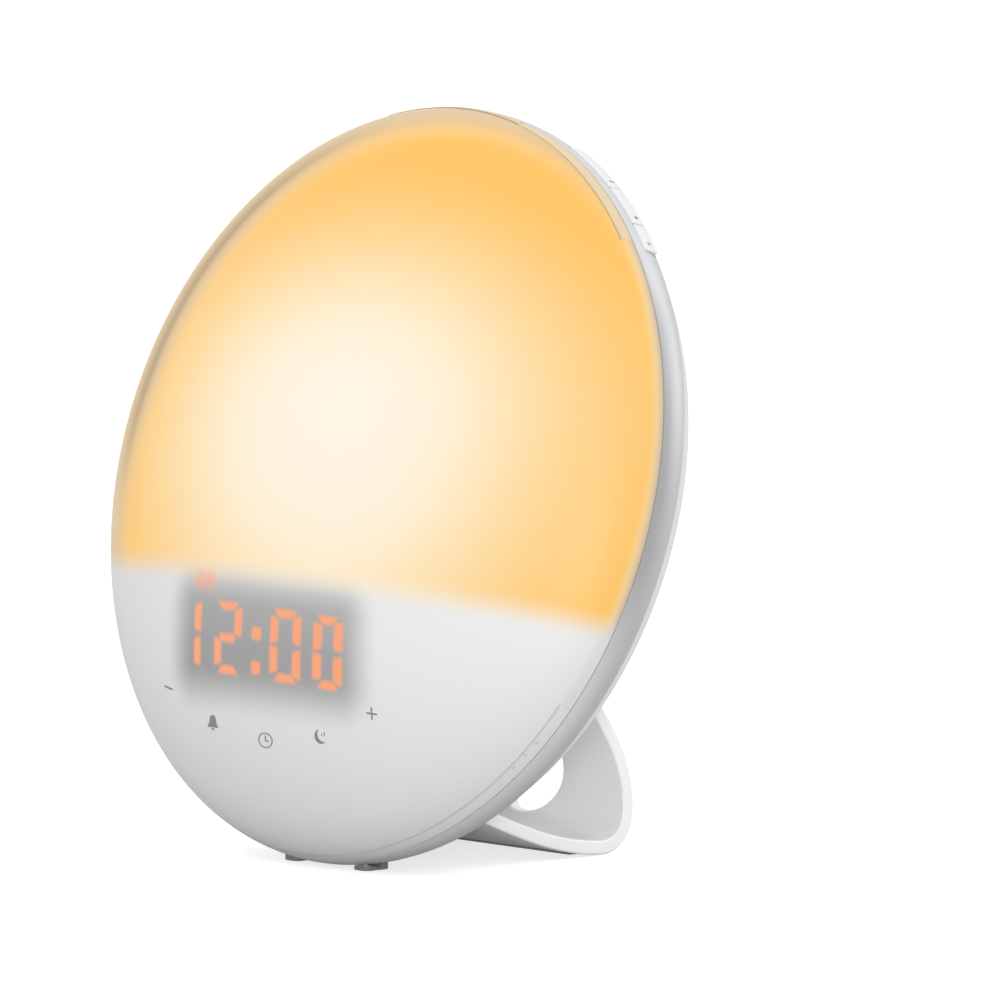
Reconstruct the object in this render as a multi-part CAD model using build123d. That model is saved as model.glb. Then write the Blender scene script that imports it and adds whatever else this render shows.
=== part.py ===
from build123d import *
import os
from math import asin, cos, degrees, hypot, radians, sin, sqrt

# Sunrise alarm clock: a round lit disc that leans back on two front feet and a loop stand.
#
# Two frames are used, both in millimetres.
#   Row frame:  +X to the clock's own left, -Y where the face looks, +Z up, table at Z = 0.
#   Disc frame: origin at the middle of the disc's widest circle, +x as the row's +X, +y up the disc,
#               +z out of the face. Most pieces are drawn in it and are then laid back by the lean.

os.makedirs("parts", exist_ok=True)

# ---------------------------------------------------------------- driving dimensions
# Disc
DISC_RADIUS = 87.5          # widest circle of the lens
LENS_BULGE = 34.6           # the lens is half an ellipsoid this high
LENS_WALL = 2.3
LENS_EDGE = 1.8             # where the lens stops and the silver band begins
LEAN = 15.4                 # degrees the disc leans back
RIM_HEIGHT = 1.04           # lowest point of the widest circle above the table

# Silver band and rear cover
BAND_MID_INSET = 0.2        # insets are measured in from the disc's radius
BAND_REAR_INSET = 1.3
BAND_REAR = -6.0
BAND_WALL = 1.3
COVER_RIM_INSET = 5.7
COVER_RIM = -11.8
COVER_BACK_INSET = 35.5
COVER_DEPTH = 30.0
COVER_WALL = 2.2

# Lens skirt and the inner frame behind the lens
SKIRT_WALL = 1.7
SKIRT_DEPTH = 4.0
FRAME_PLATE = 2.0
FRAME_RIM_WALL = 1.8
FRAME_RIM_DEPTH = 5.6

# Edge trims, snooze key and side keys; angles are degrees round the disc from +x
TRIM_FRONT = 4.9
TRIM_DEPTH = 2.4
UPPER_TRIM = (43.0, 137.0)
LOWER_TRIM = (-148.0, -32.0)
SNOOZE_HALF_ANGLE = 14.5
SNOOZE_REAR = 2.9
SNOOZE_PROUD = 0.25
SNOOZE_TRAVEL = 0.5
KEY_GAPS = (66.9, 55.2, 47.0, 41.6)   # ends of the three side keys
KEY_FRONT = -1.0
KEY_REAR = -5.2
KEY_PROUD = 0.5
KEY_TRAVEL = 0.5
PIN_HOLES = (-39.2, -41.8, -44.6)
PIN_HOLE_RADIUS = 0.45

# Light and display
DIVIDER_Y = -27.4
DIVIDER_WALL = 1.6
LED_BOARD_RADIUS = 64.0
BOARD = 1.6
LED_RINGS = ((6, 14.0), (12, 31.0), (20, 48.0))     # chips in each ring and the ring's radius
TRAY_FLARE = 4.0
TRAY_HEIGHT = 8.0
TRAY_WALL = 1.4
WINDOW_MARGIN = 1.9          # between the display and the housing's side walls
WINDOW_TOP = -28.8
WINDOW_BOTTOM = -58.6
WINDOW_WALL = 1.6
DISPLAY_Y = -43.0
DISPLAY_WIDTH = 53.0
DISPLAY_HEIGHT = 19.0
DISPLAY_DEPTH = 6.0
DISPLAY_TILT = 12.6
DISPLAY_FACE = 24.4         # height of the display's face over the disc's widest circle
DIGIT_HEIGHT = 15.6
DIGIT_WIDTH = 9.4
DIGIT_PITCH = 12.9
STROKE = 1.9

# Touch keys
TOUCH_SPOTS = ((-34.5, -55.0), (-18.5, -61.6), (0.0, -64.0), (18.5, -61.6), (34.5, -55.0))
TOUCH_BOARD_Z = 13.4
TOUCH_BOARD_WALL = 1.2
TOUCH_BOARD_RADIUS = 72.5
TOUCH_TOP = -49.0
SPRING_RADIUS = 2.6
SPRING_WIRE = 0.35

# Loop stand: back (+Y) from the lowest point of the widest circle, and up (+Z) from the table
STAND_WIDTH = 60.0
STAND_WALL = 3.2
STAND_PATH = (
    (39.74, 60.5),
    (48.94, 48.6),
    (60.14, 34.1),
    (66.04, 25.1),
    (69.14, 16.8),
    (69.84, 10.7),
    (68.44, 4.6),
    (63.84, 0.8),
    (57.74, 0.4),
    (42.94, 3.3),
    (24.34, 10.2),
    (14.24, 14.2),
)
HOLE_RADIUS = 15.75         # hole through the back of the loop, a circle cut off by one straight side
HOLE_X = -4.5
HOLE_Z = 22.4
HOLE_SIDE = -8.6
HOLE_CORNER = 2.0
FLANGE_UP = 13.2            # flange above and below where the loop meets the rear cover
FLANGE_DOWN = 5.8
FLANGE_WALL = 3.0
PAD_RECESS = 0.6
PAD_FRONT = 55.24
PAD_BACK = 63.24
PAD_WIDTH = 48.0

# Front feet
FOOT_X = 11.8
FOOT_WIDTH = 5.0
FOOT_HEIGHT = 4.0
FOOT_FRONT = 1.74
FOOT_BACK = 9.24

# Rear cover fittings
SPEAKER = (0.0, 16.0)
SPEAKER_RADIUS = 22.0
SPEAKER_RIM = 5.0
SPEAKER_SCREW_INSET = 1.95
GRILLE_PITCH = 4.4
GRILLE_HOLE = 1.1
GRILLE_RINGS = 4
DOOR_GAP = 3.0              # between the speaker and the battery cup
DOOR_Y = 2.5
DOOR_WALL = 1.6
CUP_WALL = 1.7
CELL_RADIUS = 10.0
CELL_THICKNESS = 3.2
JACK = (36.0, -2.0)
JACK_BORE = 2.9
JACK_PIN = 1.0
JACK_RADIUS = 4.6
JACK_LENGTH = 12.0

# Fasteners
CASE_SCREW_ANGLES = (18.0, 90.0, 162.0, 228.0, 312.0)
CASE_SCREW_INSET = 21.5
SCREW_RADIUS = 1.4
SCREW_HEAD_RADIUS = 2.6
SCREW_HEAD = 1.6
SMALL_SCREW_RADIUS = 0.9
SMALL_HEAD_RADIUS = 1.8
SMALL_HEAD = 1.1

# Clearances
FIT = 0.3                   # between neighbouring pieces that do not move
KEY_GAP = 0.2               # round a key
SCREW_GAP = 0.05            # round a screw's shank
SEAT_GAP = 0.1              # between two curved seats
PRESS_GAP = 0.1             # left between a pressed key and its switch

# ---------------------------------------------------------------- frames
RIM_BACK = -DISC_RADIUS * sin(radians(LEAN))     # lowest point of the widest circle, back from the centre
CENTRE_HEIGHT = DISC_RADIUS * cos(radians(LEAN)) + RIM_HEIGHT
FACE_REACH = hypot(DISC_RADIUS * sin(radians(LEAN)), LENS_BULGE * cos(radians(LEAN)))
STAND_REACH = max(back for back, up in STAND_PATH)
CENTRE_Y = (FACE_REACH - STAND_REACH - RIM_BACK) / 2
DISC_PLANE = Plane(
    origin=(0, CENTRE_Y, CENTRE_HEIGHT),
    x_dir=(1, 0, 0),
    z_dir=(0, -cos(radians(LEAN)), sin(radians(LEAN))),
)
LAY_BACK = DISC_PLANE.location
TO_ROW = Pos(0, CENTRE_Y + RIM_BACK, 0)          # from the stand's measures to the row frame


# ---------------------------------------------------------------- helpers
def box(x0, x1, y0, y1, z0, z1):
    """A box between two corners."""
    return Pos((x0 + x1) / 2, (y0 + y1) / 2, (z0 + z1) / 2) * Box(x1 - x0, y1 - y0, z1 - z0)


def disc(radius, z0, z1, x=0.0, y=0.0):
    """A cylinder along z between two heights."""
    return Pos(x, y, (z0 + z1) / 2) * Cylinder(radius, z1 - z0)


def ring(outer, inner, z0, z1, x=0.0, y=0.0):
    """A tube along z between two heights."""
    return disc(outer, z0, z1, x, y) - disc(inner, z0 - 1, z1 + 1, x, y)


def lathe(points):
    """The solid that a closed outline of (radius, z) points sweeps about z."""
    return revolve(Plane.XZ * make_face(Polyline(points, close=True)), Axis.Z)


def cap_arc(radius, height, low, steps=10):
    """A cap's outline from a height up to the top: a spline through points of the ellipse."""
    start = asin(low / height)
    turn = radians(90) - start
    spots = [start + turn * step / steps for step in range(steps)]
    points = [(radius * cos(spot), height * sin(spot)) for spot in spots]
    ends = [(-radius * sin(start), height * cos(start)), (-1, 0)]
    return Spline(points + [(0, height)], tangents=ends, tangent_scalars=[1, 1])


def cap(radius, height):
    """Half an ellipsoid standing on z = 0."""
    arc = cap_arc(radius, height, 0)
    sides = [arc, Line(arc @ 1, (0, 0)), Line((0, 0), arc @ 0)]
    return revolve(Plane.XZ * make_face(sides), Axis.Z)


def cap_height(radius, height, distance):
    """How high a cap stands at a distance from its axis."""
    return height * sqrt(1 - (distance / radius) ** 2)


def sector(outer, inner, z0, z1, start, end):
    """A piece of a tube between two angles round z."""
    tube = ring(outer, inner, z0, z1)
    far = 3 * outer
    middle = radians((start + end) / 2)
    corners = [(0, 0)]
    for angle in (radians(start), middle, radians(end)):
        corners.append((far * cos(angle), far * sin(angle)))
    wedge = Pos(0, 0, z0 - 1) * extrude(make_face(Polyline(corners, close=True)), z1 - z0 + 2)
    return tube & wedge


def spoke(angle, shape):
    """Turns a shape drawn along +x to an angle round z."""
    return Rot(0, 0, angle) * shape


def around(radius, angle):
    """The point at a radius and an angle."""
    return radius * cos(radians(angle)), radius * sin(radians(angle))


def screw(x, y, head_z, tip_z, shank, head_radius, head):
    """A pan head screw whose head sits on head_z and whose shank runs to tip_z."""
    way = 1 if head_z > tip_z else -1
    low, high = sorted((head_z, head_z + way * head))
    head_solid = disc(head_radius, low, high, x, y)
    low, high = sorted((head_z, tip_z))
    slot_depth = head * 0.45
    top = head_z + way * head
    low_slot, high_slot = sorted((top, top - way * slot_depth))
    across = head_radius * 1.3
    width = head_radius * 0.3
    cross = box(x - across / 2, x + across / 2, y - width / 2, y + width / 2, low_slot, high_slot)
    cross += box(x - width / 2, x + width / 2, y - across / 2, y + across / 2, low_slot, high_slot)
    return head_solid + disc(shank, low, high, x, y) - cross


def group(shapes):
    """Several separate shapes as one group of solids."""
    return Compound(children=[s for shape in shapes for s in shape.solids()])


# ---------------------------------------------------------------- derived sizes
BAND_MID_RADIUS = DISC_RADIUS - BAND_MID_INSET
BAND_REAR_RADIUS = DISC_RADIUS - BAND_REAR_INSET
COVER_RIM_RADIUS = DISC_RADIUS - COVER_RIM_INSET
COVER_BACK_RADIUS = DISC_RADIUS - COVER_BACK_INSET
TRIM_FLOOR_RADIUS = DISC_RADIUS - TRIM_DEPTH
CASE_SCREW_CIRCLE = DISC_RADIUS - CASE_SCREW_INSET
CONE_RADIUS = SPEAKER_RADIUS - SPEAKER_RIM
DOOR_SIDE = 2 * (CELL_RADIUS + FIT + CUP_WALL)
DOOR = (-(SPEAKER_RADIUS + DOOR_GAP + DOOR_SIDE / 2), DOOR_Y)
INNER_RADIUS = DISC_RADIUS - LENS_WALL
INNER_BULGE = LENS_BULGE - LENS_WALL
BAND_INNER = BAND_REAR_RADIUS - BAND_WALL
SKIRT_OUTER = BAND_INNER - FIT
SKIRT_INNER = SKIRT_OUTER - SKIRT_WALL
FRAME_RADIUS = SKIRT_INNER - FIT
COVER_FRONT = BAND_REAR - SEAT_GAP
COVER_INSIDE = -(COVER_DEPTH - COVER_WALL)
LENS_INSIDE = cap(INNER_RADIUS - FIT, INNER_BULGE - FIT)
KEY_STEM_END = FRAME_RADIUS - FRAME_RIM_WALL - FIT
SWITCH_TOP = KEY_STEM_END - KEY_TRAVEL - PRESS_GAP
SWITCH_HEIGHT = 3.5
FLEX_OUTER = SWITCH_TOP - SWITCH_HEIGHT
FLEX_WALL = 1.0
TRAY_RADIUS = LED_BOARD_RADIUS + 1.0
SNOOZE_STEM_END = FRAME_RADIUS - FRAME_RIM_WALL - FIT
SNOOZE_SWITCH_TOP = SNOOZE_STEM_END - SNOOZE_TRAVEL - PRESS_GAP
SNOOZE_BOARD_TOP = SNOOZE_SWITCH_TOP - SWITCH_HEIGHT - 1.5


# ---------------------------------------------------------------- shell pieces
def cover_solid(inset):
    """The rear cover's outer shape, or its hollow when inset by the wall."""
    rim = (BAND_REAR_RADIUS - 0.2 - inset, COVER_FRONT)
    shoulder = (COVER_RIM_RADIUS - 0.85 * inset, COVER_RIM + 0.6 * inset)
    back = (COVER_BACK_RADIUS - 0.3 * inset, -COVER_DEPTH + inset)
    mid_radius = 0.55 * COVER_RIM_RADIUS + 0.45 * COVER_BACK_RADIUS
    mid_z = 0.42 * COVER_RIM - 0.58 * COVER_DEPTH
    middle = (mid_radius - 0.5 * inset, mid_z + 0.87 * inset)
    sides = [
        Line((0, COVER_FRONT), rim),
        Line(rim, shoulder),
        ThreePointArc(shoulder, middle, back),
        Line(back, (0, -COVER_DEPTH + inset)),
        Line((0, -COVER_DEPTH + inset), (0, COVER_FRONT)),
    ]
    return revolve(Plane.XZ * make_face(sides), Axis.Z)


def key_sector(outer, inner, z0, z1, margin):
    """The stretch of rim that the side keys take up, widened by a margin in degrees."""
    return sector(outer, inner, z0, z1, KEY_GAPS[-1] - margin, KEY_GAPS[0] + margin)


def front_lens():
    """Milky domed front, with a skirt that goes into the silver band."""
    outer = cap_arc(DISC_RADIUS, LENS_BULGE, LENS_EDGE)
    inner = cap_arc(INNER_RADIUS, INNER_BULGE, cap_height(INNER_RADIUS, INNER_BULGE, SKIRT_INNER))
    corners = [
        inner @ 0,
        (SKIRT_INNER, -SKIRT_DEPTH),
        (SKIRT_OUTER, -SKIRT_DEPTH),
        (SKIRT_OUTER, LENS_EDGE),
        outer @ 0,
    ]
    sides = [outer, inner, Line(outer @ 1, inner @ 1), Polyline(corners)]
    shell = revolve(Plane.XZ * make_face(sides), Axis.Z)
    for start, end in (UPPER_TRIM, LOWER_TRIM):
        shell -= sector(DISC_RADIUS + 2, TRIM_FLOOR_RADIUS, 0, TRIM_FRONT + SEAT_GAP, start, end)
    shell -= box(-3.5, 3.5, SKIRT_INNER - 6, DISC_RADIUS, SNOOZE_REAR - KEY_GAP, TRIM_FRONT + SEAT_GAP)
    shell -= key_sector(SKIRT_OUTER + 0.2, SKIRT_INNER - 1, -SKIRT_DEPTH - 1, LENS_EDGE - 1, 1.5)
    return shell


def edge_trim(start, end):
    """A trim strip let into the lens's edge, flush with the lens."""
    inner = TRIM_FLOOR_RADIUS + FIT
    margin = degrees(SEAT_GAP / DISC_RADIUS)
    strip = sector(DISC_RADIUS + 1, inner, LENS_EDGE, TRIM_FRONT, start + margin, end - margin)
    return strip & cap(DISC_RADIUS, LENS_BULGE)


def upper_trim():
    """Strip over the top that frames the snooze key."""
    margin = degrees(KEY_GAP / DISC_RADIUS)
    half = SNOOZE_HALF_ANGLE + margin
    notch = sector(DISC_RADIUS + 2, 80, SNOOZE_REAR - KEY_GAP, TRIM_FRONT + 1, 90 - half, 90 + half)
    return edge_trim(*UPPER_TRIM) - notch


def lower_trim():
    """Strip under the disc, with three pin holes at its front edge."""
    strip = edge_trim(*LOWER_TRIM)
    for angle in PIN_HOLES:
        hole = Pos(DISC_RADIUS - 1, 0, TRIM_FRONT - 0.2) * Rot(0, 90, 0) * Cylinder(PIN_HOLE_RADIUS, 8)
        strip -= spoke(angle, hole)
    return strip


def snooze_key():
    """Long slim key along the top edge, with the stem that reaches its switch."""
    low = 90 - SNOOZE_HALF_ANGLE
    high = 90 + SNOOZE_HALF_ANGLE
    bar = sector(DISC_RADIUS + 2, TRIM_FLOOR_RADIUS + SNOOZE_TRAVEL + FIT, SNOOZE_REAR, TRIM_FRONT, low, high)
    bar = bar & cap(DISC_RADIUS + SNOOZE_PROUD, LENS_BULGE + SNOOZE_PROUD)
    stem = box(-3, 3, SNOOZE_STEM_END, TRIM_FLOOR_RADIUS + 1.2, SNOOZE_REAR, TRIM_FRONT - 0.3)
    return bar + stem


def silver_band():
    """Satin ring round the edge, cut out for the side keys."""
    profile = [
        Line((BAND_INNER, LENS_EDGE - SEAT_GAP), (DISC_RADIUS - 0.1, LENS_EDGE - SEAT_GAP)),
        ThreePointArc(
            (DISC_RADIUS - 0.1, LENS_EDGE - SEAT_GAP),
            (BAND_MID_RADIUS, BAND_REAR / 2),
            (BAND_REAR_RADIUS, BAND_REAR),
        ),
        Line((BAND_REAR_RADIUS, BAND_REAR), (BAND_INNER, BAND_REAR)),
        Line((BAND_INNER, BAND_REAR), (BAND_INNER, LENS_EDGE - SEAT_GAP)),
    ]
    band = revolve(Plane.XZ * make_face(profile), Axis.Z)
    margin = degrees(KEY_GAP / DISC_RADIUS)
    slot = sector(
        DISC_RADIUS + 2, 80, KEY_REAR - KEY_GAP, KEY_FRONT + KEY_GAP,
        KEY_GAPS[-1] - margin, KEY_GAPS[0] + margin,
    )
    return band - slot


def side_key(index):
    """One key of the strip on the upper right of the band, with its stem."""
    margin = degrees(KEY_GAP / DISC_RADIUS) / 2
    start = KEY_GAPS[index + 1] + margin
    end = KEY_GAPS[index] - margin
    cap_inner = BAND_INNER + 0.2
    face = sector(BAND_MID_RADIUS + KEY_PROUD, cap_inner, KEY_REAR, KEY_FRONT, start, end)
    middle = (start + end) / 2
    stem = spoke(middle, box(KEY_STEM_END, cap_inner + 0.8, -1.5, 1.5, KEY_REAR + 0.8, KEY_FRONT - 0.8))
    return face + stem


def side_key_angle(index):
    """Angle round the disc of the middle of a side key."""
    return (KEY_GAPS[index] + KEY_GAPS[index + 1]) / 2


def case_screw_spots():
    """Where the case screws stand."""
    return [around(CASE_SCREW_CIRCLE, angle) for angle in CASE_SCREW_ANGLES]


BOSS_RADIUS = 3.6
BOSS_SPLIT = -12.0           # frame bosses end and cover bosses begin here


def rear_cover():
    """White back shell: grille, battery opening, inlet, bosses, and holes for the stand screws."""
    shell = cover_solid(0) - cover_solid(COVER_WALL)
    lip = ring(SKIRT_OUTER, SKIRT_INNER, COVER_FRONT - 1, -SKIRT_DEPTH - FIT)
    lip -= key_sector(SKIRT_OUTER + 0.2, SKIRT_INNER - 1, COVER_FRONT, 0, 1.5)
    shell += lip
    inside = cover_solid(COVER_WALL / 2)
    for x, y in case_screw_spots():
        shell += disc(BOSS_RADIUS, -COVER_DEPTH, BOSS_SPLIT, x, y) & inside
    for x, y in stand_screw_spots():
        shell += disc(BOSS_RADIUS, -COVER_DEPTH + 1, COVER_INSIDE + 5, x, y)
    for x, y in case_screw_spots():
        shell -= disc(SCREW_RADIUS + SCREW_GAP, -COVER_DEPTH - 1, BOSS_SPLIT + 1, x, y)
        shell -= disc(SCREW_HEAD_RADIUS + FIT, -COVER_DEPTH - 1, BOSS_SPLIT - 3, x, y)
    for x, y in stand_screw_spots():
        shell -= disc(SCREW_RADIUS + SCREW_GAP, -COVER_DEPTH - 1, COVER_INSIDE + 4, x, y)
    for x, y in speaker_screw_spots():
        shell += disc(2.0, COVER_INSIDE - 1, COVER_INSIDE + GASKET, x, y)
        shell -= disc(SMALL_SCREW_RADIUS + SCREW_GAP, COVER_INSIDE - 1, COVER_INSIDE + 2, x, y)
    for x, y in grille_spots():
        shell -= disc(GRILLE_HOLE, -COVER_DEPTH - 1, COVER_INSIDE + 1, x, y)
    x, y = DOOR
    half_w = DOOR_SIDE / 2
    half_h = DOOR_SIDE / 2
    shell -= box(
        x - half_w - KEY_GAP, x + half_w + KEY_GAP, y - half_h - KEY_GAP, y + half_h + KEY_GAP,
        -COVER_DEPTH - 1, -COVER_DEPTH + DOOR_WALL,
    )
    shell -= box(
        x - half_w + 1.2, x + half_w - 1.2, y - half_h + 1.2, y + half_h - 1.2,
        -COVER_DEPTH - 1, COVER_INSIDE + 1,
    )
    shell -= disc(JACK_RADIUS - 1, -COVER_DEPTH - 1, COVER_INSIDE + 1, *JACK)
    return shell


# ---------------------------------------------------------------- frame inside the disc
GASKET = 0.8


def speaker_screw_spots():
    """Four screws on the speaker's flange."""
    spots = []
    for angle in (45, 135, 225, 315):
        x, y = around(SPEAKER_RADIUS - SPEAKER_SCREW_INSET, angle)
        spots.append((SPEAKER[0] + x, SPEAKER[1] + y))
    return spots


def to_disc(back, up):
    """A point of the stand's outline in the disc frame, as (up the disc, out of the face)."""
    y = back + RIM_BACK
    z = up - CENTRE_HEIGHT
    lean = radians(LEAN)
    return y * sin(lean) + z * cos(lean), z * sin(lean) - y * cos(lean)


def flange_ends():
    """Top and bottom of the stand's flange, about where the loop's straight upper end meets the cover."""
    y0, z0 = to_disc(*STAND_PATH[0])
    y1, z1 = to_disc(*STAND_PATH[2])
    meets = y0 + (y1 - y0) * (-COVER_DEPTH - z0) / (z1 - z0)
    return meets + FLANGE_UP, meets - FLANGE_DOWN


def stand_screw_spots():
    """Two screws through the stand's upper flange."""
    y = sum(flange_ends()) / 2 + 4
    return [(-STAND_WIDTH / 3, y), (STAND_WIDTH / 3, y)]


def grille_spots():
    """Sound holes in rings over the speaker."""
    spots = [SPEAKER]
    for number in range(1, GRILLE_RINGS + 1):
        count = 6 * number
        for step in range(count):
            x, y = around(number * GRILLE_PITCH, 360 * step / count)
            spots.append((SPEAKER[0] + x, SPEAKER[1] + y))
    return [(x, y) for x, y in spots if hypot(x - SPEAKER[0], y - SPEAKER[1]) < CONE_RADIUS]


MAIN_BOARD_Z = -8.0
MAIN_BOARD = (-40.0, 40.0, -52.0, 2.0)


def main_board_spots():
    """Screws that hold the main board."""
    x0, x1, y0, y1 = MAIN_BOARD
    edge = 4.0
    return [(x, y) for x in (x0 + edge, x1 - edge) for y in (y0 + edge, y1 - edge)]


def led_board_spots():
    """Screws that hold the light board."""
    spots = [around(LED_BOARD_RADIUS - 6, angle) for angle in (25, 155)]
    return spots + [(-40.0, DIVIDER_Y + 6), (40.0, DIVIDER_Y + 6)]


def touch_board_spots():
    """Screws that hold the touch board."""
    return [(-43.0, -52.5), (43.0, -52.5), (-12.0, -68.0), (12.0, -68.0)]


def inner_frame():
    """Moulded plate across the disc that carries the boards, with a rim, bosses and posts."""
    frame = disc(FRAME_RADIUS, -FRAME_PLATE, 0)
    frame += ring(FRAME_RADIUS, FRAME_RADIUS - FRAME_RIM_WALL, -FRAME_RIM_DEPTH, 0)
    for x, y in case_screw_spots():
        frame += disc(BOSS_RADIUS, BOSS_SPLIT, -1, x, y)
    for x, y in main_board_spots():
        frame += disc(3.0, MAIN_BOARD_Z, -1, x, y)
    for x, y in touch_board_spots():
        frame += disc(2.6, -1, TOUCH_BOARD_Z, x, y)
    back = FLEX_OUTER - FLEX_WALL - SEAT_GAP
    frame -= key_sector(FRAME_RADIUS + 1, back, -FRAME_RIM_DEPTH - 1, 1, 2.0)
    frame += key_sector(back, back - 1.8, -8.5, 0, 1.0)
    wall_y = SNOOZE_BOARD_TOP - BOARD
    frame += box(-10, 10, wall_y - 1.8, wall_y, -1, TRIM_FRONT + 3)
    for x, y in case_screw_spots():
        frame -= disc(SCREW_RADIUS + SCREW_GAP, BOSS_SPLIT - 1, -0.8, x, y)
    for x, y in main_board_spots():
        frame -= disc(SMALL_SCREW_RADIUS + SCREW_GAP, MAIN_BOARD_Z - 1, -1.2, x, y)
    for x, y in touch_board_spots():
        frame -= disc(SMALL_SCREW_RADIUS + SCREW_GAP, TOUCH_BOARD_Z - 5, TOUCH_BOARD_Z + 1, x, y)
    for x, y in led_board_spots():
        frame -= disc(SMALL_SCREW_RADIUS + SCREW_GAP, -FRAME_PLATE - 1, 1, x, y)
    x0, x1, y0, y1 = cable_slot()
    frame -= box(x0, x1, y0, y1, -FRAME_PLATE - 1, 1)
    return frame


def cable_slot():
    """Slot in the inner frame under the display where the flat cable goes through."""
    return -8.0, 8.0, -46.0, -42.0


# ---------------------------------------------------------------- light
def led_board():
    """Round board cut off along the divider."""
    board = disc(LED_BOARD_RADIUS, 0, BOARD)
    board -= box(-90, 90, -90, DIVIDER_Y + DIVIDER_WALL, -1, BOARD + 1)
    for x, y in led_board_spots():
        board -= disc(SMALL_SCREW_RADIUS + SCREW_GAP, -1, BOARD + 1, x, y)
    return board


def led_chips():
    """Warm and amber light chips in rings on the light board."""
    chips = []
    lowest = DIVIDER_Y + DIVIDER_WALL + 5
    blocked = led_board_spots()
    for count, radius in LED_RINGS:
        for step in range(count):
            x, y = around(radius, 360 * (step + 0.5) / count)
            if y < lowest or min(hypot(x - a, y - b) for a, b in blocked) < 4.5:
                continue
            chips.append(box(x - 1.5, x + 1.5, y - 1.4, y + 1.4, BOARD, BOARD + 0.9))
    return group(chips)


def reflector_tray():
    """White flared wall round the light board."""
    base = TRAY_RADIUS
    wall = lathe([
        (base, 0), (base + TRAY_WALL, 0),
        (base + TRAY_WALL + TRAY_FLARE, TRAY_HEIGHT), (base + TRAY_FLARE, TRAY_HEIGHT),
    ])
    return wall - box(-90, 90, -90, DIVIDER_Y + DIVIDER_WALL / 2 + SEAT_GAP, -1, TRAY_HEIGHT + 1)


def light_divider():
    """Wall that keeps the light out of the display's half; its top follows the lens."""
    low = DIVIDER_Y - DIVIDER_WALL / 2
    wall = box(-90, 90, low, low + DIVIDER_WALL, 0, LENS_BULGE) & LENS_INSIDE
    return wall & disc(FRAME_RADIUS - FIT, -1, LENS_BULGE)


# ---------------------------------------------------------------- display
DISPLAY_LOC = Pos(0, DISPLAY_Y, DISPLAY_FACE) * Rot(DISPLAY_TILT, 0, 0)
DISPLAY_BOARD_TOP = -DISPLAY_DEPTH
WINDOW_WIDTH = DISPLAY_WIDTH + 2 * (WINDOW_MARGIN + WINDOW_WALL)


def display_housing():
    """Open black box round the display, with a sloping shelf for its board."""
    half = WINDOW_WIDTH / 2
    wall = WINDOW_WALL
    outer = box(-half, half, WINDOW_BOTTOM, WINDOW_TOP, 0, LENS_BULGE) & LENS_INSIDE
    half_in = half - wall
    shelf = DISPLAY_BOARD_TOP - BOARD
    upper = box(-half_in, half_in, WINDOW_BOTTOM + wall, WINDOW_TOP - wall, 0, LENS_BULGE + 5)
    upper = upper & (DISPLAY_LOC * box(-40, 40, -40, 40, shelf, 60))
    lower = box(-half_in + 4, half_in - 4, WINDOW_BOTTOM + wall + 3, WINDOW_TOP - wall - 3, -1, LENS_BULGE)
    return outer - upper - lower


def display_board():
    """Board behind the display, resting on the housing's shelf."""
    half = WINDOW_WIDTH / 2 - WINDOW_WALL - FIT
    up = DISPLAY_HEIGHT / 2 + 1.0
    return DISPLAY_LOC * box(-half, half, -up, up, DISPLAY_BOARD_TOP - BOARD, DISPLAY_BOARD_TOP)


def display_module():
    """The digit block on the display board."""
    half_w = DISPLAY_WIDTH / 2
    half_h = DISPLAY_HEIGHT / 2
    return DISPLAY_LOC * box(-half_w, half_w, -half_h, half_h, DISPLAY_BOARD_TOP, 0)


def digit_bars(lit):
    """The bars of one digit as (x0, x1, y0, y1), about the digit's own centre."""
    w = DIGIT_WIDTH / 2
    h = DIGIT_HEIGHT / 2
    gap = 0.25
    bars = {
        "a": (-w + STROKE + gap, w - STROKE - gap, h - STROKE, h),
        "g": (-w + STROKE + gap, w - STROKE - gap, -STROKE / 2, STROKE / 2),
        "d": (-w + STROKE + gap, w - STROKE - gap, -h, -h + STROKE),
        "f": (-w, -w + STROKE, gap, h),
        "e": (-w, -w + STROKE, -h, -gap),
        "b": (w - STROKE, w, gap, h),
        "c": (w - STROKE, w, -h, -gap),
    }
    return [bars[name] for name in lit]


def display_segments():
    """Light bars of four digits, the colon and the indicator dot, on the digit block's face."""
    pieces = []
    centres = (-1.5 * DIGIT_PITCH - 1.6, -0.5 * DIGIT_PITCH - 1.6, 0.5 * DIGIT_PITCH + 1.6, 1.5 * DIGIT_PITCH + 1.6)
    thickness = 0.25
    for centre in centres:
        for x0, x1, y0, y1 in digit_bars("abcdefg"):
            pieces.append(box(centre + x0, centre + x1, y0, y1, 0, thickness))
    dot = STROKE / 2
    for up in (-DIGIT_HEIGHT / 4, DIGIT_HEIGHT / 4):
        pieces.append(box(-dot, dot, up - dot, up + dot, 0, thickness))
    return DISPLAY_LOC * group(pieces)


# ---------------------------------------------------------------- touch keys
def touch_board():
    """Crescent board under the touch symbols, on four posts."""
    top = TOUCH_BOARD_Z + TOUCH_BOARD_WALL
    board = disc(TOUCH_BOARD_RADIUS, TOUCH_BOARD_Z, top)
    board -= box(-90, 90, TOUCH_TOP, 90, TOUCH_BOARD_Z - 1, top + 1)
    half = WINDOW_WIDTH / 2 + FIT
    board -= box(-half, half, WINDOW_BOTTOM - FIT, 0, TOUCH_BOARD_Z - 1, top + 1)
    for x, y in touch_board_spots():
        board -= disc(SMALL_SCREW_RADIUS + SCREW_GAP, TOUCH_BOARD_Z - 1, top + 1, x, y)
    return board


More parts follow.
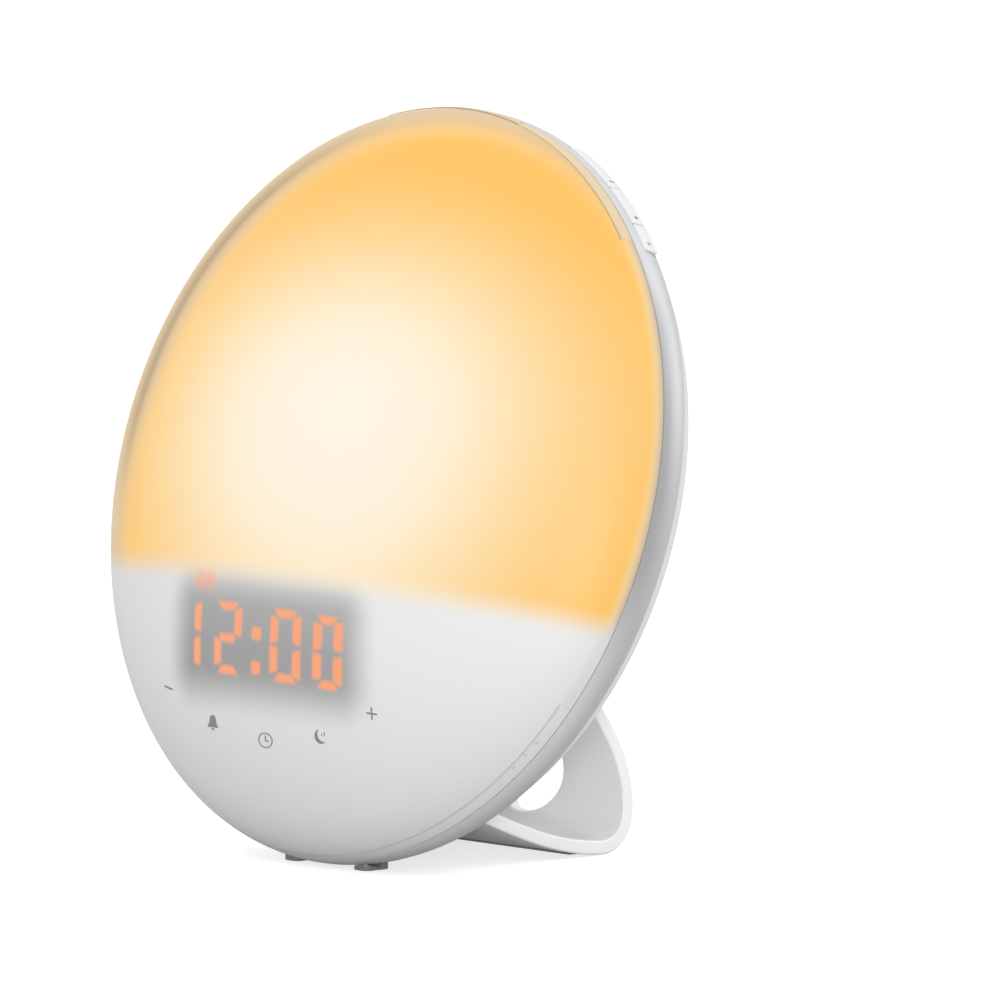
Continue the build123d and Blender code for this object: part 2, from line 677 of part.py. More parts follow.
def touch_spring(x, y):
    """Coil spring that carries a touch pad's charge from the board to the lens."""
    bottom = TOUCH_BOARD_Z + TOUCH_BOARD_WALL + SPRING_WIRE
    reach = hypot(x, y) + SPRING_RADIUS
    top = cap_height(INNER_RADIUS, INNER_BULGE, reach) - SPRING_WIRE - FIT
    coil = Helix(pitch=(top - bottom) / 3, height=top - bottom, radius=SPRING_RADIUS - SPRING_WIRE)
    wire = sweep(Plane(origin=coil @ 0, z_dir=coil % 0) * Circle(SPRING_WIRE), path=coil, is_frenet=True)
    return Pos(x, y, bottom) * wire


def touch_springs():
    """The five springs under the touch symbols."""
    return group([touch_spring(x, y) for x, y in TOUCH_SPOTS])


# ---------------------------------------------------------------- switches and boards
def key_switches():
    """Three push switches behind the side keys."""
    switches = []
    for index in range(3):
        body = box(FLEX_OUTER, SWITCH_TOP - 0.8, -2.6, 2.6, KEY_REAR, KEY_FRONT)
        body += Pos(SWITCH_TOP - 0.5, 0, (KEY_REAR + KEY_FRONT) / 2) * Rot(0, 90, 0) * Cylinder(1.2, 1.0)
        switches.append(spoke(side_key_angle(index), body - disc(FLEX_OUTER + 0.05, -10, 5)))
    return group(switches)


def key_board():
    """Bent strip of board behind the side keys."""
    return key_sector(FLEX_OUTER, FLEX_OUTER - FLEX_WALL, -8.0, KEY_FRONT + 0.5, 0.5)


def snooze_board():
    """Small upright board under the snooze key's stem."""
    return box(-9, 9, SNOOZE_BOARD_TOP - BOARD, SNOOZE_BOARD_TOP, 0, TRIM_FRONT + 2.5)


def snooze_switch():
    """Push switch under the snooze key's stem."""
    middle = (SNOOZE_REAR + TRIM_FRONT) / 2
    body = box(-3, 3, SNOOZE_BOARD_TOP, SNOOZE_SWITCH_TOP - 1.2, middle - 2.5, middle + 2.5)
    plunger = Pos(0, SNOOZE_SWITCH_TOP - 0.7, middle) * Rot(90, 0, 0) * Cylinder(1.6, 1.4)
    return body + plunger


def main_board():
    """Board with the clock's control parts, screwed to the back of the inner frame."""
    x0, x1, y0, y1 = MAIN_BOARD
    board = box(x0, x1, y0, y1, MAIN_BOARD_Z - BOARD, MAIN_BOARD_Z)
    for x, y in main_board_spots():
        board -= disc(SMALL_SCREW_RADIUS + SCREW_GAP, MAIN_BOARD_Z - BOARD - 1, MAIN_BOARD_Z + 1, x, y)
    return board


def board_chips():
    """Flat packaged chips on the main board."""
    top = MAIN_BOARD_Z - BOARD
    sizes = ((-10, -28, 12, 12, 1.6), (14, -34, 9, 6, 1.6), (-28, -36, 8, 6, 1.6), (26, -18, 6, 5, 1.4))
    return group([box(x - w / 2, x + w / 2, y - h / 2, y + h / 2, top - t, top) for x, y, w, h, t in sizes])


def capacitors():
    """Three can capacitors on the main board."""
    top = MAIN_BOARD_Z - BOARD
    spots = ((-30, -20), (-22, -20), (34, -32))
    return group([disc(3.1, top - 7.0, top, x, y) - ring(3.6, 2.9, top - 2.0, top - 1.4, x, y) for x, y in spots])


def clock_crystal():
    """Small can that keeps the clock's time."""
    top = MAIN_BOARD_Z - BOARD
    return box(4, 8, -20, -10, top - 3.4, top)


def board_sockets():
    """Plug sockets along the main board's lower edge."""
    top = MAIN_BOARD_Z - BOARD
    y = MAIN_BOARD[2] + 5
    blocks = []
    for x, pins in ((-26, 2), (-12, 4), (6, 5), (24, 2)):
        width = 2.0 * pins + 2.4
        block = box(x - width / 2, x + width / 2, y - 2.2, y + 2.2, top - 5.0, top)
        block -= box(x - width / 2 + 0.6, x + width / 2 - 0.6, y - 1.5, y + 1.5, top - 6, top - 1.4)
        blocks.append(block)
    return group(blocks)


def flat_cable():
    """Flat cable from the display board down through the inner frame to the main board."""
    x0, x1, y0, y1 = cable_slot()
    width = 10.0
    y = (y0 + y1) / 2
    top = DISPLAY_FACE + DISPLAY_BOARD_TOP - BOARD - 1.4
    return box(-width / 2, width / 2, y - 0.3, y + 0.3, MAIN_BOARD_Z, top)


# ---------------------------------------------------------------- sound, power and battery
FLANGE_Z = COVER_INSIDE + GASKET


def speaker_frame():
    """Steel basket with its flange."""
    x, y = SPEAKER
    flange = ring(SPEAKER_RADIUS, CONE_RADIUS, FLANGE_Z, FLANGE_Z + 1.2, x, y)
    outer = Cone(CONE_RADIUS + 0.9, 11.0, 8.0)
    inner = Cone(CONE_RADIUS, 9.8, 8.0)
    basket = Pos(x, y, FLANGE_Z + 1.2 + 4.0) * (outer - inner)
    basket += ring(11.0, 5.0, FLANGE_Z + 9.2, FLANGE_Z + 10.2, x, y)
    frame = flange + basket
    for a, b in speaker_screw_spots():
        frame -= disc(SMALL_SCREW_RADIUS + SCREW_GAP, FLANGE_Z - 1, FLANGE_Z + 3, a, b)
    for angle in (0, 90, 180, 270):
        frame -= Pos(x, y, FLANGE_Z + 5.4) * Rot(0, 0, angle) * Pos(13, 0, 0) * Box(12, 9, 5)
    return frame


def speaker_cone():
    """Paper cone with its roll edge and dust cap."""
    x, y = SPEAKER
    cone = Cone(CONE_RADIUS - 0.4, 7.0, 6.0) - Cone(CONE_RADIUS - 1.0, 6.4, 6.0)
    cone = Pos(x, y, FLANGE_Z + 4.0) * cone
    cone += disc(6.9, FLANGE_Z + 6.2, FLANGE_Z + 7.0, x, y)
    return cone


def speaker_magnet():
    """Ring magnet on the back of the basket."""
    x, y = SPEAKER
    return disc(10.5, FLANGE_Z + 10.2, FLANGE_Z + 14.6, x, y)


def speaker_gasket():
    """Foam ring between the speaker and the rear cover."""
    return ring(SPEAKER_RADIUS - 4.4, CONE_RADIUS - 0.4, COVER_INSIDE, FLANGE_Z, *SPEAKER)


def battery_tray():
    """Moulded cup for the back-up cell, fixed to the inside of the rear cover."""
    x, y = DOOR
    half_w = DOOR_SIDE / 2
    half_h = DOOR_SIDE / 2
    z0 = COVER_INSIDE
    z1 = COVER_INSIDE + CELL_THICKNESS + 3.2
    cup = box(x - half_w, x + half_w, y - half_h, y + half_h, z0, z1)
    cup -= disc(CELL_RADIUS + FIT, z0 - 1, z1 - 1.4, x, y)
    return cup & cover_solid(COVER_WALL)


def cell_base():
    """Height of the inner face of the coin cell."""
    return COVER_INSIDE + CELL_THICKNESS + 3.2 - 1.4 - 0.5


def coin_cell():
    """Back-up coin cell."""
    top = cell_base()
    cell = disc(CELL_RADIUS, top - CELL_THICKNESS, top - 0.5, *DOOR)
    return cell + disc(CELL_RADIUS - 1.4, top - 0.6, top, *DOOR)


def battery_contacts():
    """Spring strips over and beside the cell."""
    x, y = DOOR
    top = cell_base() + 0.5
    centre = box(x - 2, x + 2, y - 6, y + 6, top - 0.4, top)
    return centre


def battery_door():
    """Cover plate of the battery opening, with a finger groove and inner ribs."""
    x, y = DOOR
    half_w = DOOR_SIDE / 2
    half_h = DOOR_SIDE / 2
    low = -COVER_DEPTH
    plate = box(x - half_w, x + half_w, y - half_h, y + half_h, low, low + DOOR_WALL - SEAT_GAP)
    for step in range(3):
        groove_y = y + half_h - 5 - 2.2 * step
        plate -= box(x - 5, x + 5, groove_y - 0.5, groove_y + 0.5, low - 1, low + 0.5)
    inner = 1.2 + FIT
    rib_top = cell_base() - CELL_THICKNESS - FIT
    plate += ring(CELL_RADIUS - 3, CELL_RADIUS - 4.2, low + DOOR_WALL - SEAT_GAP - 0.2, rib_top, x, y)
    plate += box(
        x - half_w + inner, x + half_w - inner, y - half_h + inner, y - half_h + inner + 1.0,
        low + 0.5, COVER_INSIDE - FIT,
    )
    return plate & cover_solid(0)


def dc_jack():
    """Power inlet: a barrel with a centre pin, behind a hole in the rear cover."""
    body = disc(JACK_RADIUS, COVER_INSIDE, COVER_INSIDE + JACK_LENGTH, *JACK)
    nose = disc(JACK_RADIUS - 1 - SEAT_GAP, -COVER_DEPTH, COVER_INSIDE + 1, *JACK)
    bore = disc(JACK_BORE, -COVER_DEPTH - 1, COVER_INSIDE + JACK_LENGTH - 2, *JACK)
    pin = disc(JACK_PIN, -COVER_DEPTH + 1, COVER_INSIDE + JACK_LENGTH - 1, *JACK)
    return body + nose - bore + pin


# ---------------------------------------------------------------- fasteners
def case_screws():
    """Five screws that pull the rear cover to the inner frame."""
    head = BOSS_SPLIT - 3
    return group([
        screw(x, y, head, -3.0, SCREW_RADIUS, SCREW_HEAD_RADIUS, SCREW_HEAD) for x, y in case_screw_spots()
    ])


def board_screws():
    """Small screws of the light, main and touch boards."""
    main = MAIN_BOARD_Z - BOARD
    touch = TOUCH_BOARD_Z + TOUCH_BOARD_WALL
    small = (SMALL_SCREW_RADIUS, SMALL_HEAD_RADIUS, SMALL_HEAD)
    screws = [screw(x, y, BOARD, -FRAME_PLATE, *small) for x, y in led_board_spots()]
    screws += [screw(x, y, main, -3.0, *small) for x, y in main_board_spots()]
    screws += [screw(x, y, touch, TOUCH_BOARD_Z - 4.5, *small) for x, y in touch_board_spots()]
    return group(screws)


def speaker_screws():
    """Four small screws through the speaker's flange."""
    small = (SMALL_SCREW_RADIUS, SMALL_HEAD_RADIUS, SMALL_HEAD)
    return group([screw(x, y, FLANGE_Z + 1.2, COVER_INSIDE - 0.8, *small) for x, y in speaker_screw_spots()])


def stand_screws():
    """Two screws that hold the stand's flange to the rear cover."""
    head = -COVER_DEPTH - SEAT_GAP - FLANGE_WALL + SCREW_HEAD + 0.2
    return group([
        screw(x, y, head, COVER_INSIDE + 3.5, SCREW_RADIUS, SCREW_HEAD_RADIUS, SCREW_HEAD)
        for x, y in stand_screw_spots()
    ])


# ---------------------------------------------------------------- stand and feet
def stand_ribbon():
    """The loop's side outline, as thick as the stand's wall, drawn across its width."""
    outer = Spline([Vector(back, up) for back, up in STAND_PATH])
    inside = []
    for step in range(len(STAND_PATH) * 2 - 1):
        spot = step / (len(STAND_PATH) * 2 - 2)
        along = outer % spot
        inside.append(outer @ spot + Vector(along.Y, -along.X) * STAND_WALL)
    inner = Spline(inside)
    sides = [outer, Line(outer @ 1, inner @ 1), inner, Line(inner @ 0, outer @ 0)]
    ribbon = extrude(Plane.YZ * make_face(sides), STAND_WIDTH)
    return Pos(-STAND_WIDTH / 2, 0, 0) * ribbon


def stand_hole():
    """Cutter for the hole in the back of the loop: a disc with one side cut straight."""
    wide = 2 * HOLE_RADIUS
    round_part = Pos(HOLE_X, STAND_REACH, HOLE_Z) * Rot(90, 0, 0) * Cylinder(HOLE_RADIUS, wide)
    cutter = round_part & box(HOLE_SIDE, HOLE_X + wide, 0, 2 * STAND_REACH, HOLE_Z - wide, HOLE_Z + wide)
    corners = [e for e in cutter.edges().filter_by(Axis.Y) if abs(e.center().X - HOLE_SIDE) < 0.01]
    return fillet(corners, HOLE_CORNER)


def stand_flange():
    """Plate at the stand's upper end that lies on the rear cover's flat back."""
    low = -COVER_DEPTH - SEAT_GAP - FLANGE_WALL
    half = STAND_WIDTH / 2
    top, bottom = flange_ends()
    plate = box(-half, half, bottom, top, low, -COVER_DEPTH - SEAT_GAP)
    upright = [e for e in plate.edges().filter_by(Axis.Z) if e.center().Y > (top + bottom) / 2]
    return LAY_BACK * fillet(upright, 6.0)


def loop_stand():
    """One-piece loop that props the disc up: ribbon, upper flange, hole and pad recess."""
    ribbon = TO_ROW * (stand_ribbon() - stand_hole())
    stand = ribbon + stand_flange()
    stand -= LAY_BACK * cover_solid(-SEAT_GAP)
    stand -= LAY_BACK * disc(DISC_RADIUS + 5, COVER_FRONT - 0.5, 40)
    above = LAY_BACK * box(-200, 200, flange_ends()[0], 200, -200, 200)
    stand -= above
    for x, y in stand_screw_spots():
        low = -COVER_DEPTH - SEAT_GAP - FLANGE_WALL
        stand -= LAY_BACK * disc(SCREW_RADIUS + SCREW_GAP, low - 1, -COVER_DEPTH + 1, x, y)
        stand -= LAY_BACK * disc(SCREW_HEAD_RADIUS + KEY_GAP, low - 30, low + SCREW_HEAD + 0.2, x, y)
    half = PAD_WIDTH / 2 + KEY_GAP
    recess_top = min(up for back, up in STAND_PATH) + PAD_RECESS
    stand -= TO_ROW * box(-half, half, PAD_FRONT - KEY_GAP, PAD_BACK + KEY_GAP, -100, recess_top)
    return max(stand.solids(), key=lambda s: s.volume)


def stand_pad():
    """Rubber strip under the stand, let into its recess and standing on the table."""
    half = PAD_WIDTH / 2
    recess_top = min(up for back, up in STAND_PATH) + PAD_RECESS
    return TO_ROW * box(-half, half, PAD_FRONT, PAD_BACK, 0, recess_top)


def front_feet():
    """Two rubber feet under the disc's front edge."""
    feet = []
    over = LAY_BACK * (disc(DISC_RADIUS + SEAT_GAP, COVER_FRONT - SEAT_GAP, 20) + cover_solid(-SEAT_GAP))
    for side in (-1, 1):
        x = side * FOOT_X
        half = FOOT_WIDTH / 2
        foot = TO_ROW * box(x - half, x + half, FOOT_FRONT, FOOT_BACK, 0, FOOT_HEIGHT)
        foot = fillet(foot.edges().filter_by(Axis.Z), 1.6)
        feet.append(foot - over)
    return group(feet)


# ---------------------------------------------------------------- write every piece
DISC_PIECES = {
    "front_lens": front_lens,
    "upper_trim": upper_trim,
    "lower_trim": lower_trim,
    "snooze_key": snooze_key,
    "silver_band": silver_band,
    "rear_cover": rear_cover,
    "inner_frame": inner_frame,
    "led_board": led_board,
    "led_chips": led_chips,
    "reflector_tray": reflector_tray,
    "light_divider": light_divider,
    "display_housing": display_housing,
    "display_board": display_board,
    "display_module": display_module,
    "display_segments": display_segments,
    "touch_board": touch_board,
    "touch_springs": touch_springs,
    "key_switches": key_switches,
    "key_board": key_board,
    "snooze_board": snooze_board,
    "snooze_switch": snooze_switch,
    "main_board": main_board,
    "board_chips": board_chips,
    "capacitors": capacitors,
    "clock_crystal": clock_crystal,
    "board_sockets": board_sockets,
    "flat_cable": flat_cable,
    "speaker_frame": speaker_frame,
    "speaker_cone": speaker_cone,
    "speaker_magnet": speaker_magnet,
    "speaker_gasket": speaker_gasket,
    "battery_tray": battery_tray,
    "coin_cell": coin_cell,
    "battery_contacts": battery_contacts,
    "battery_door": battery_door,
    "dc_jack": dc_jack,
    "case_screws": case_screws,
    "board_screws": board_screws,
    "speaker_screws": speaker_screws,
    "stand_screws": stand_screws,
}
ROW_PIECES = {
    "loop_stand": loop_stand,
    "stand_pad": stand_pad,
    "front_feet": front_feet,
}

if __name__ == "__main__":
    for name, make in DISC_PIECES.items():
        export_step(LAY_BACK * make(), f"parts/{name}.step")
    for index in range(3):
        export_step(LAY_BACK * side_key(index), f"parts/side_key_{index + 1}.step")
    for name, make in ROW_PIECES.items():
        export_step(make(), f"parts/{name}.step")
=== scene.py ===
"""Sunrise alarm clock: the looks of a round lit disc on a loop stand, laid out as an add-on."""

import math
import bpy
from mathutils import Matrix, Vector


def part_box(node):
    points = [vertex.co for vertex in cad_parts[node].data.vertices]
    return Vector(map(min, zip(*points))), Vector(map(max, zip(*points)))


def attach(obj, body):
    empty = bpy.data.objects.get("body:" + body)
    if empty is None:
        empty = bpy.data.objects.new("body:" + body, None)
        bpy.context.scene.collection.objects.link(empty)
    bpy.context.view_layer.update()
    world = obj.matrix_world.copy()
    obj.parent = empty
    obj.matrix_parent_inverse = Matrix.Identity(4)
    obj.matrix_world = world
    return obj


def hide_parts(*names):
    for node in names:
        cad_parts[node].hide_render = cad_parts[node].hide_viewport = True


bl_info = {
    "name": "Sunrise Alarm Clock",
    "version": (1, 0, 0),
    "blender": (4, 5, 0),
    "location": "3D View > Sidebar > Clock",
    "description": "Builds the shells, keys, stand, marks and finishes of a round wake-up light",
    "category": "Object",
}

import bmesh
import bpy
import numpy as np
from bpy.props import FloatProperty, FloatVectorProperty, PointerProperty
from mathutils import Matrix, Vector

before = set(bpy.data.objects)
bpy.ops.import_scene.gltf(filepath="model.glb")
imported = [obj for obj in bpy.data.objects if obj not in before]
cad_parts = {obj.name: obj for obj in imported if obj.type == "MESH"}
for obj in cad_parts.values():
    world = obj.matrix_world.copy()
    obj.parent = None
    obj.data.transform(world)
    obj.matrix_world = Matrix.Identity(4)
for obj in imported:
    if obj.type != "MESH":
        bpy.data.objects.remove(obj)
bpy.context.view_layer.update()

MM = 0.001
FULL_TURN = 360


# ---------------------------------------------------------------- sizes and colours
def linear(red, green, blue):
    """A display colour, given as 0 to 255, as the linear values that a shader takes."""
    steps = [value / 255 for value in (red, green, blue)]
    return tuple(v / 12.92 if v <= 0.04045 else ((v + 0.055) / 1.055) ** 2.4 for v in steps)


def length(name, description, millimetres):
    """A length that a user may change."""
    return FloatProperty(
        name=name, description=description, default=millimetres * MM, precision=5, unit="LENGTH"
    )


def angle(name, description, degrees):
    """An angle that a user may change."""
    return FloatProperty(
        name=name, description=description, default=math.radians(degrees), subtype="ANGLE"
    )


def colour(name, description, red, green, blue):
    """A colour that a user may change."""
    return FloatVectorProperty(
        name=name, description=description, default=linear(red, green, blue), subtype="COLOR", min=0, max=1
    )


class ClockSizes(bpy.types.PropertyGroup):
    """Sizes of the clock's visible pieces"""

    disc_radius: length("Disc radius", "Widest circle of the lens", 87.5)
    lens_bulge: length("Lens bulge", "Height of the domed lens over its widest circle", 34.6)
    lens_wall: length("Lens wall", "Thickness of the milky shell", 2.3)
    lean: angle("Lean", "How far the disc leans back", 15.4)
    rim_height: length("Rim height", "Lowest point of the widest circle over the table", 1.04)
    lens_edge: length("Lens edge", "Where the lens stops and the silver band begins", 1.8)
    band_rear: length("Band depth", "How far the silver band reaches behind the widest circle", 6.0)
    cover_depth: length("Cover depth", "How far the rear cover reaches behind the widest circle", 30.0)
    cover_wall: length("Cover wall", "Thickness of the rear cover", 2.2)
    trim_front: length("Trim front", "Front edge of the trims over the widest circle", 4.9)
    key_round: length("Key rounding", "Radius of a key's edges", 0.4)
    grille_pitch: length("Grille pitch", "Distance between the rings of sound holes", 4.4)
    grille_hole: length("Grille hole", "Radius of a sound hole", 1.1)
    stand_width: length("Stand width", "Width of the loop stand", 60.0)
    stand_wall: length("Stand wall", "Thickness of the loop stand", 3.2)
    stand_round: length("Stand rounding", "Radius of the loop stand's long edges", 0.5)
    screw_head: length("Screw head", "Radius of a screw's head", 2.6)
    mark_stroke: length("Mark stroke", "Width of a line in the touch marks", 0.42)


class ClockFinishes(bpy.types.PropertyGroup):
    """Colours of the clock's visible finishes"""

    milk: colour("Milky lens", "Unlit part of the lens", 211, 211, 211)
    digit: colour("Digits", "Light of the figures behind the lens", 253, 165, 120)
    mark: colour("Touch marks", "Grey print on the lens", 126, 126, 128)
    # The upper trim's beige is partly painted light: pale plastic with the warm glow of the lamp inside
    # painted into its colour.
    warm_trim: colour("Upper trim", "Pale beige plastic over the top", 203, 183, 147)
    grey_trim: colour("Lower trim", "Light grey plastic under the disc", 211, 211, 211)
    silver: colour("Silver band", "Satin silver paint", 185, 185, 188)
    key: colour("Side keys", "Pale lavender white plastic", 211, 211, 214)
    case: colour("Rear cover", "Glossy white plastic", 219, 219, 219)
    stand: colour("Stand", "Glossy white plastic", 237, 237, 237)
    rubber: colour("Rubber", "Feet and pad", 128, 128, 130)
    screw: colour("Screws", "Zinc plated steel", 172, 172, 168)


class Measures:
    """The sizes in millimetres, with the ones that follow from them."""

    def __init__(self, sizes):
        for name in sizes.__annotations__:
            value = getattr(sizes, name)
            setattr(self, name, value if name == "lean" else value / MM)
        self.band_mid = self.disc_radius - 0.2
        self.band_back = self.disc_radius - 1.3
        self.band_inner = self.band_back - 1.3
        self.skirt_outer = self.band_inner - 0.3
        self.skirt_inner = self.skirt_outer - 1.7
        self.trim_floor = self.disc_radius - 2.4
        self.key_stem_end = self.skirt_inner - 0.3 - 1.8 - 0.3
        self.case_screw_circle = self.disc_radius - 21.5
        sine, cosine = math.sin(self.lean), math.cos(self.lean)
        reach = math.hypot(self.disc_radius * sine, self.lens_bulge * cosine)
        self.rim_back = -self.disc_radius * sine
        self.centre_z = self.disc_radius * cosine + self.rim_height
        self.centre_y = (reach - max(back for back, up in STAND_PATH) - self.rim_back) / 2

    def lay_back(self):
        """From the disc frame in millimetres to the clock's place in metres."""
        sine, cosine = math.sin(self.lean), math.cos(self.lean)
        turn = Matrix(((1, 0, 0), (0, sine, -cosine), (0, cosine, sine))).to_4x4()
        place = Matrix.Translation(Vector((0, self.centre_y, self.centre_z)))
        return Matrix.Scale(MM, 4) @ place @ turn

    def on_table(self):
        """From the stand's measures in millimetres to the clock's place in metres."""
        return Matrix.Scale(MM, 4) @ Matrix.Translation(Vector((0, self.centre_y + self.rim_back, 0)))

    def lens_height(self, x, y):
        """Height of the lens's outside over the widest circle."""
        share = 1 - (x * x + y * y) / self.disc_radius**2
        return self.lens_bulge * math.sqrt(max(share, 0))

    def lens_radius(self, z, proud=0.0):
        """Radius of the lens's outside at a height."""
        return (self.disc_radius + proud) * math.sqrt(1 - (z / (self.lens_bulge + proud)) ** 2)


# Angles are degrees round the disc from +x; places are millimetres in the disc frame.
UPPER_TRIM = (43.0, 137.0)
LOWER_TRIM = (-148.0, -32.0)
SNOOZE_HALF = 14.5
SNOOZE_REAR = 2.9
SNOOZE_PROUD = 0.25
KEY_GAPS = (66.9, 55.2, 47.0, 41.6)
KEY_FRONT, KEY_REAR = -1.0, -5.2
KEY_PROUD = 0.5
KEY_GAP = 0.2
SEAT_GAP = 0.1
PIN_HOLES = (-39.2, -41.8, -44.6)
PIN_RADIUS = 0.45
CASE_SCREWS = (18.0, 90.0, 162.0, 228.0, 312.0)
SPEAKER = (0.0, 16.0)
DOOR = (-37.0, 2.5)
DOOR_SIDE = 24.0
JACK = (36.0, -2.0)
STAND_SCREWS = ((-20.0, -17.54), (20.0, -17.54))
STAND_PATH = (
    (39.74, 60.5), (48.94, 48.6), (60.14, 34.1), (66.04, 25.1), (69.14, 16.8), (69.84, 10.7),
    (68.44, 4.6), (63.84, 0.8), (57.74, 0.4), (42.94, 3.3), (24.34, 10.2), (14.24, 14.2),
)


# ---------------------------------------------------------------- outlines
def softened(corners, radii, steps=4):
    """A closed outline with each corner rounded by its own radius."""
    points = []
    count = len(corners)
    for number, (corner, radius) in enumerate(zip(corners, radii)):
        here = Vector(corner)
        if radius <= 0:
            points.append(tuple(here))
            continue
        before = Vector(corners[number - 1]) - here
        after = Vector(corners[(number + 1) % count]) - here
        reach = min(before.length, after.length) * 0.48
        before.normalize()
        after.normalize()
        half = before.angle(after) / 2
        run = min(radius / math.tan(half), reach)
        middle = here + (before + after).normalized() * (run / math.cos(half))
        start = here + before * run - middle
        end = here + after * run - middle
        first = math.atan2(start.y, start.x)
        sweep = (math.atan2(end.y, end.x) - first + math.pi) % (2 * math.pi) - math.pi
        for step in range(steps + 1):
            spot = first + sweep * step / steps
            across, up = start.length * math.cos(spot), start.length * math.sin(spot)
            points.append((middle.x + across, middle.y + up))
    return points


def arc_through(first, middle, last, steps):
    """Points of the circle's arc through three points."""
    (ax, ay), (bx, by), (cx, cy) = first, middle, last
    d = 2 * (ax * (by - cy) + bx * (cy - ay) + cx * (ay - by))
    ux = ((ax**2 + ay**2) * (by - cy) + (bx**2 + by**2) * (cy - ay) + (cx**2 + cy**2) * (ay - by)) / d
    uy = ((ax**2 + ay**2) * (cx - bx) + (bx**2 + by**2) * (ax - cx) + (cx**2 + cy**2) * (bx - ax)) / d
    radius = math.hypot(ax - ux, ay - uy)
    start = math.atan2(ay - uy, ax - ux)
    sweep = (math.atan2(cy - uy, cx - ux) - start + math.pi) % (2 * math.pi) - math.pi
    turns = [start + sweep * step / steps for step in range(steps + 1)]
    return [(ux + radius * math.cos(turn), uy + radius * math.sin(turn)) for turn in turns]


def ellipse(radius, rise, first, last, steps):
    """Points of an ellipse's arc between two angles."""
    turns = [first + (last - first) * step / steps for step in range(steps + 1)]
    return [(radius * math.cos(turn), rise * math.sin(turn)) for turn in turns]


def rectangle(left, low, right, high):
    """A rectangle as an outline."""
    return [(left, low), (right, low), (right, high), (left, high)]


def rod(radius, start, end):
    """Outline of a plain cylinder about the axis, between two heights."""
    return [(0, start), (radius, start), (radius, end), (0, end)]


def turned(radius, degrees):
    """The point at a radius and an angle."""
    return radius * math.cos(math.radians(degrees)), radius * math.sin(math.radians(degrees))


def angles(start, end, step):
    """Evenly spaced angles from start to end, both kept."""
    count = max(1, round((end - start) / step))
    return [start + (end - start) * number / count for number in range(count + 1)]


def quarter(steps):
    """Angles of a quarter turn in radians, both ends kept."""
    return [math.pi / 2 * step / steps for step in range(steps + 1)]


def radius_at(side, z):
    """Radius at a height of a side made of points (radius, z) from the top down; None beyond its ends."""
    for (r0, z0), (r1, z1) in zip(side, side[1:]):
        if z1 <= z <= z0:
            return r0 + (r1 - r0) * (z0 - z) / (z0 - z1)
    return None


# ---------------------------------------------------------------- solids
def as_object(name, bm):
    """An object from a bmesh, which is freed."""
    mesh = bpy.data.meshes.new(name)
    bm.to_mesh(mesh)
    bm.free()
    made = bpy.data.objects.new(name, mesh)
    bpy.context.scene.collection.objects.link(made)
    return made


def tidy(bm, merge=1e-4):
    """Merges doubles, drops loose bits and turns every face outwards."""
    bmesh.ops.remove_doubles(bm, verts=bm.verts, dist=merge)
    bmesh.ops.dissolve_degenerate(bm, dist=merge / 10, edges=bm.edges)
    loose = [edge for edge in bm.edges if not edge.link_faces]
    bmesh.ops.delete(bm, geom=loose, context="EDGES")
    lone = [vert for vert in bm.verts if not vert.link_faces]
    bmesh.ops.delete(bm, geom=lone, context="VERTS")
    bmesh.ops.recalc_face_normals(bm, faces=bm.faces)


def skin(bm, rows, wrap_rows=False, wrap_points=True):
    """Faces between neighbouring rows of points, closed at both ends unless the rows go all round."""
    grid = [[bm.verts.new(point) for point in row] for row in rows]
    for first, second in zip(grid, grid[1:] + grid[:1] if wrap_rows else grid[1:]):
        for spot in range(len(first) if wrap_points else len(first) - 1):
            after = (spot + 1) % len(first)
            bm.faces.new((first[spot], second[spot], second[after], first[after]))
    if not wrap_rows:
        bm.faces.new(grid[0])
        bm.faces.new(reversed(grid[-1]))


def revolved(bm, columns, full=False, closed_profile=True):
    """A solid of columns (angle, outline of (radius, z)), closed at both ends unless it goes all round."""
    rows = [[(*turned(radius, degrees), z) for radius, z in outline] for degrees, outline in columns]
    skin(bm, rows, full, closed_profile)


def revolved_object(name, columns, full=False, closed_profile=True):
    """A solid of columns as an object."""
    bm = bmesh.new()
    revolved(bm, columns, full, closed_profile)
    tidy(bm)
    return as_object(name, bm)


def ring_solid(name, outline, step):
    """A full ring from one closed outline."""
    return revolved_object(name, [(spot, outline) for spot in angles(0, FULL_TURN, step)[:-1]], True)


def turned_solid(name, outline, place=(0, 0, 0), sides=48):
    """A solid of revolution about z at a place, from an open outline that starts and ends on the axis."""
    bm = bmesh.new()
    revolved(bm, [(FULL_TURN * side / sides, outline) for side in range(sides)], True, False)
    tidy(bm)
    bmesh.ops.translate(bm, verts=bm.verts, vec=place)
    return as_object(name, bm)


def connected(verts):
    """The vertices joined to these by edges."""
    seen = set(verts)
    waiting = list(verts)
    while waiting:
        for edge in waiting.pop().link_edges:
            for vert in edge.verts:
                if vert not in seen:
                    seen.add(vert)
                    waiting.append(vert)
    return seen


def block(bm, low, high, rounding=0.0, segments=3, turn=None):
    """Adds a box between two corners, with rounded edges, turned about z at the end if asked."""
    low, high = Vector(low), Vector(high)
    made = bmesh.ops.create_cube(bm, size=1.0)["verts"]
    for vert in made:
        vert.co = (low + high) / 2 + Vector(a * b for a, b in zip(vert.co, high - low))
    if rounding:
        edges = list({edge for vert in made for edge in vert.link_edges})
        bevelled = bmesh.ops.bevel(
            bm, geom=edges, offset=rounding, segments=segments, profile=0.5, affect="EDGES"
        )
        made = list({vert for face in bevelled["faces"] for vert in face.verts})
    if turn is not None:
        matrix = Matrix.Rotation(math.radians(turn), 3, "Z")
        bmesh.ops.rotate(bm, verts=list(connected(made)), cent=(0, 0, 0), matrix=matrix)


def box_object(name, low, high, rounding=0.0, segments=3):
    """A box with rounded edges as an object."""
    bm = bmesh.new()
    block(bm, low, high, rounding, segments)
    return as_object(name, bm)


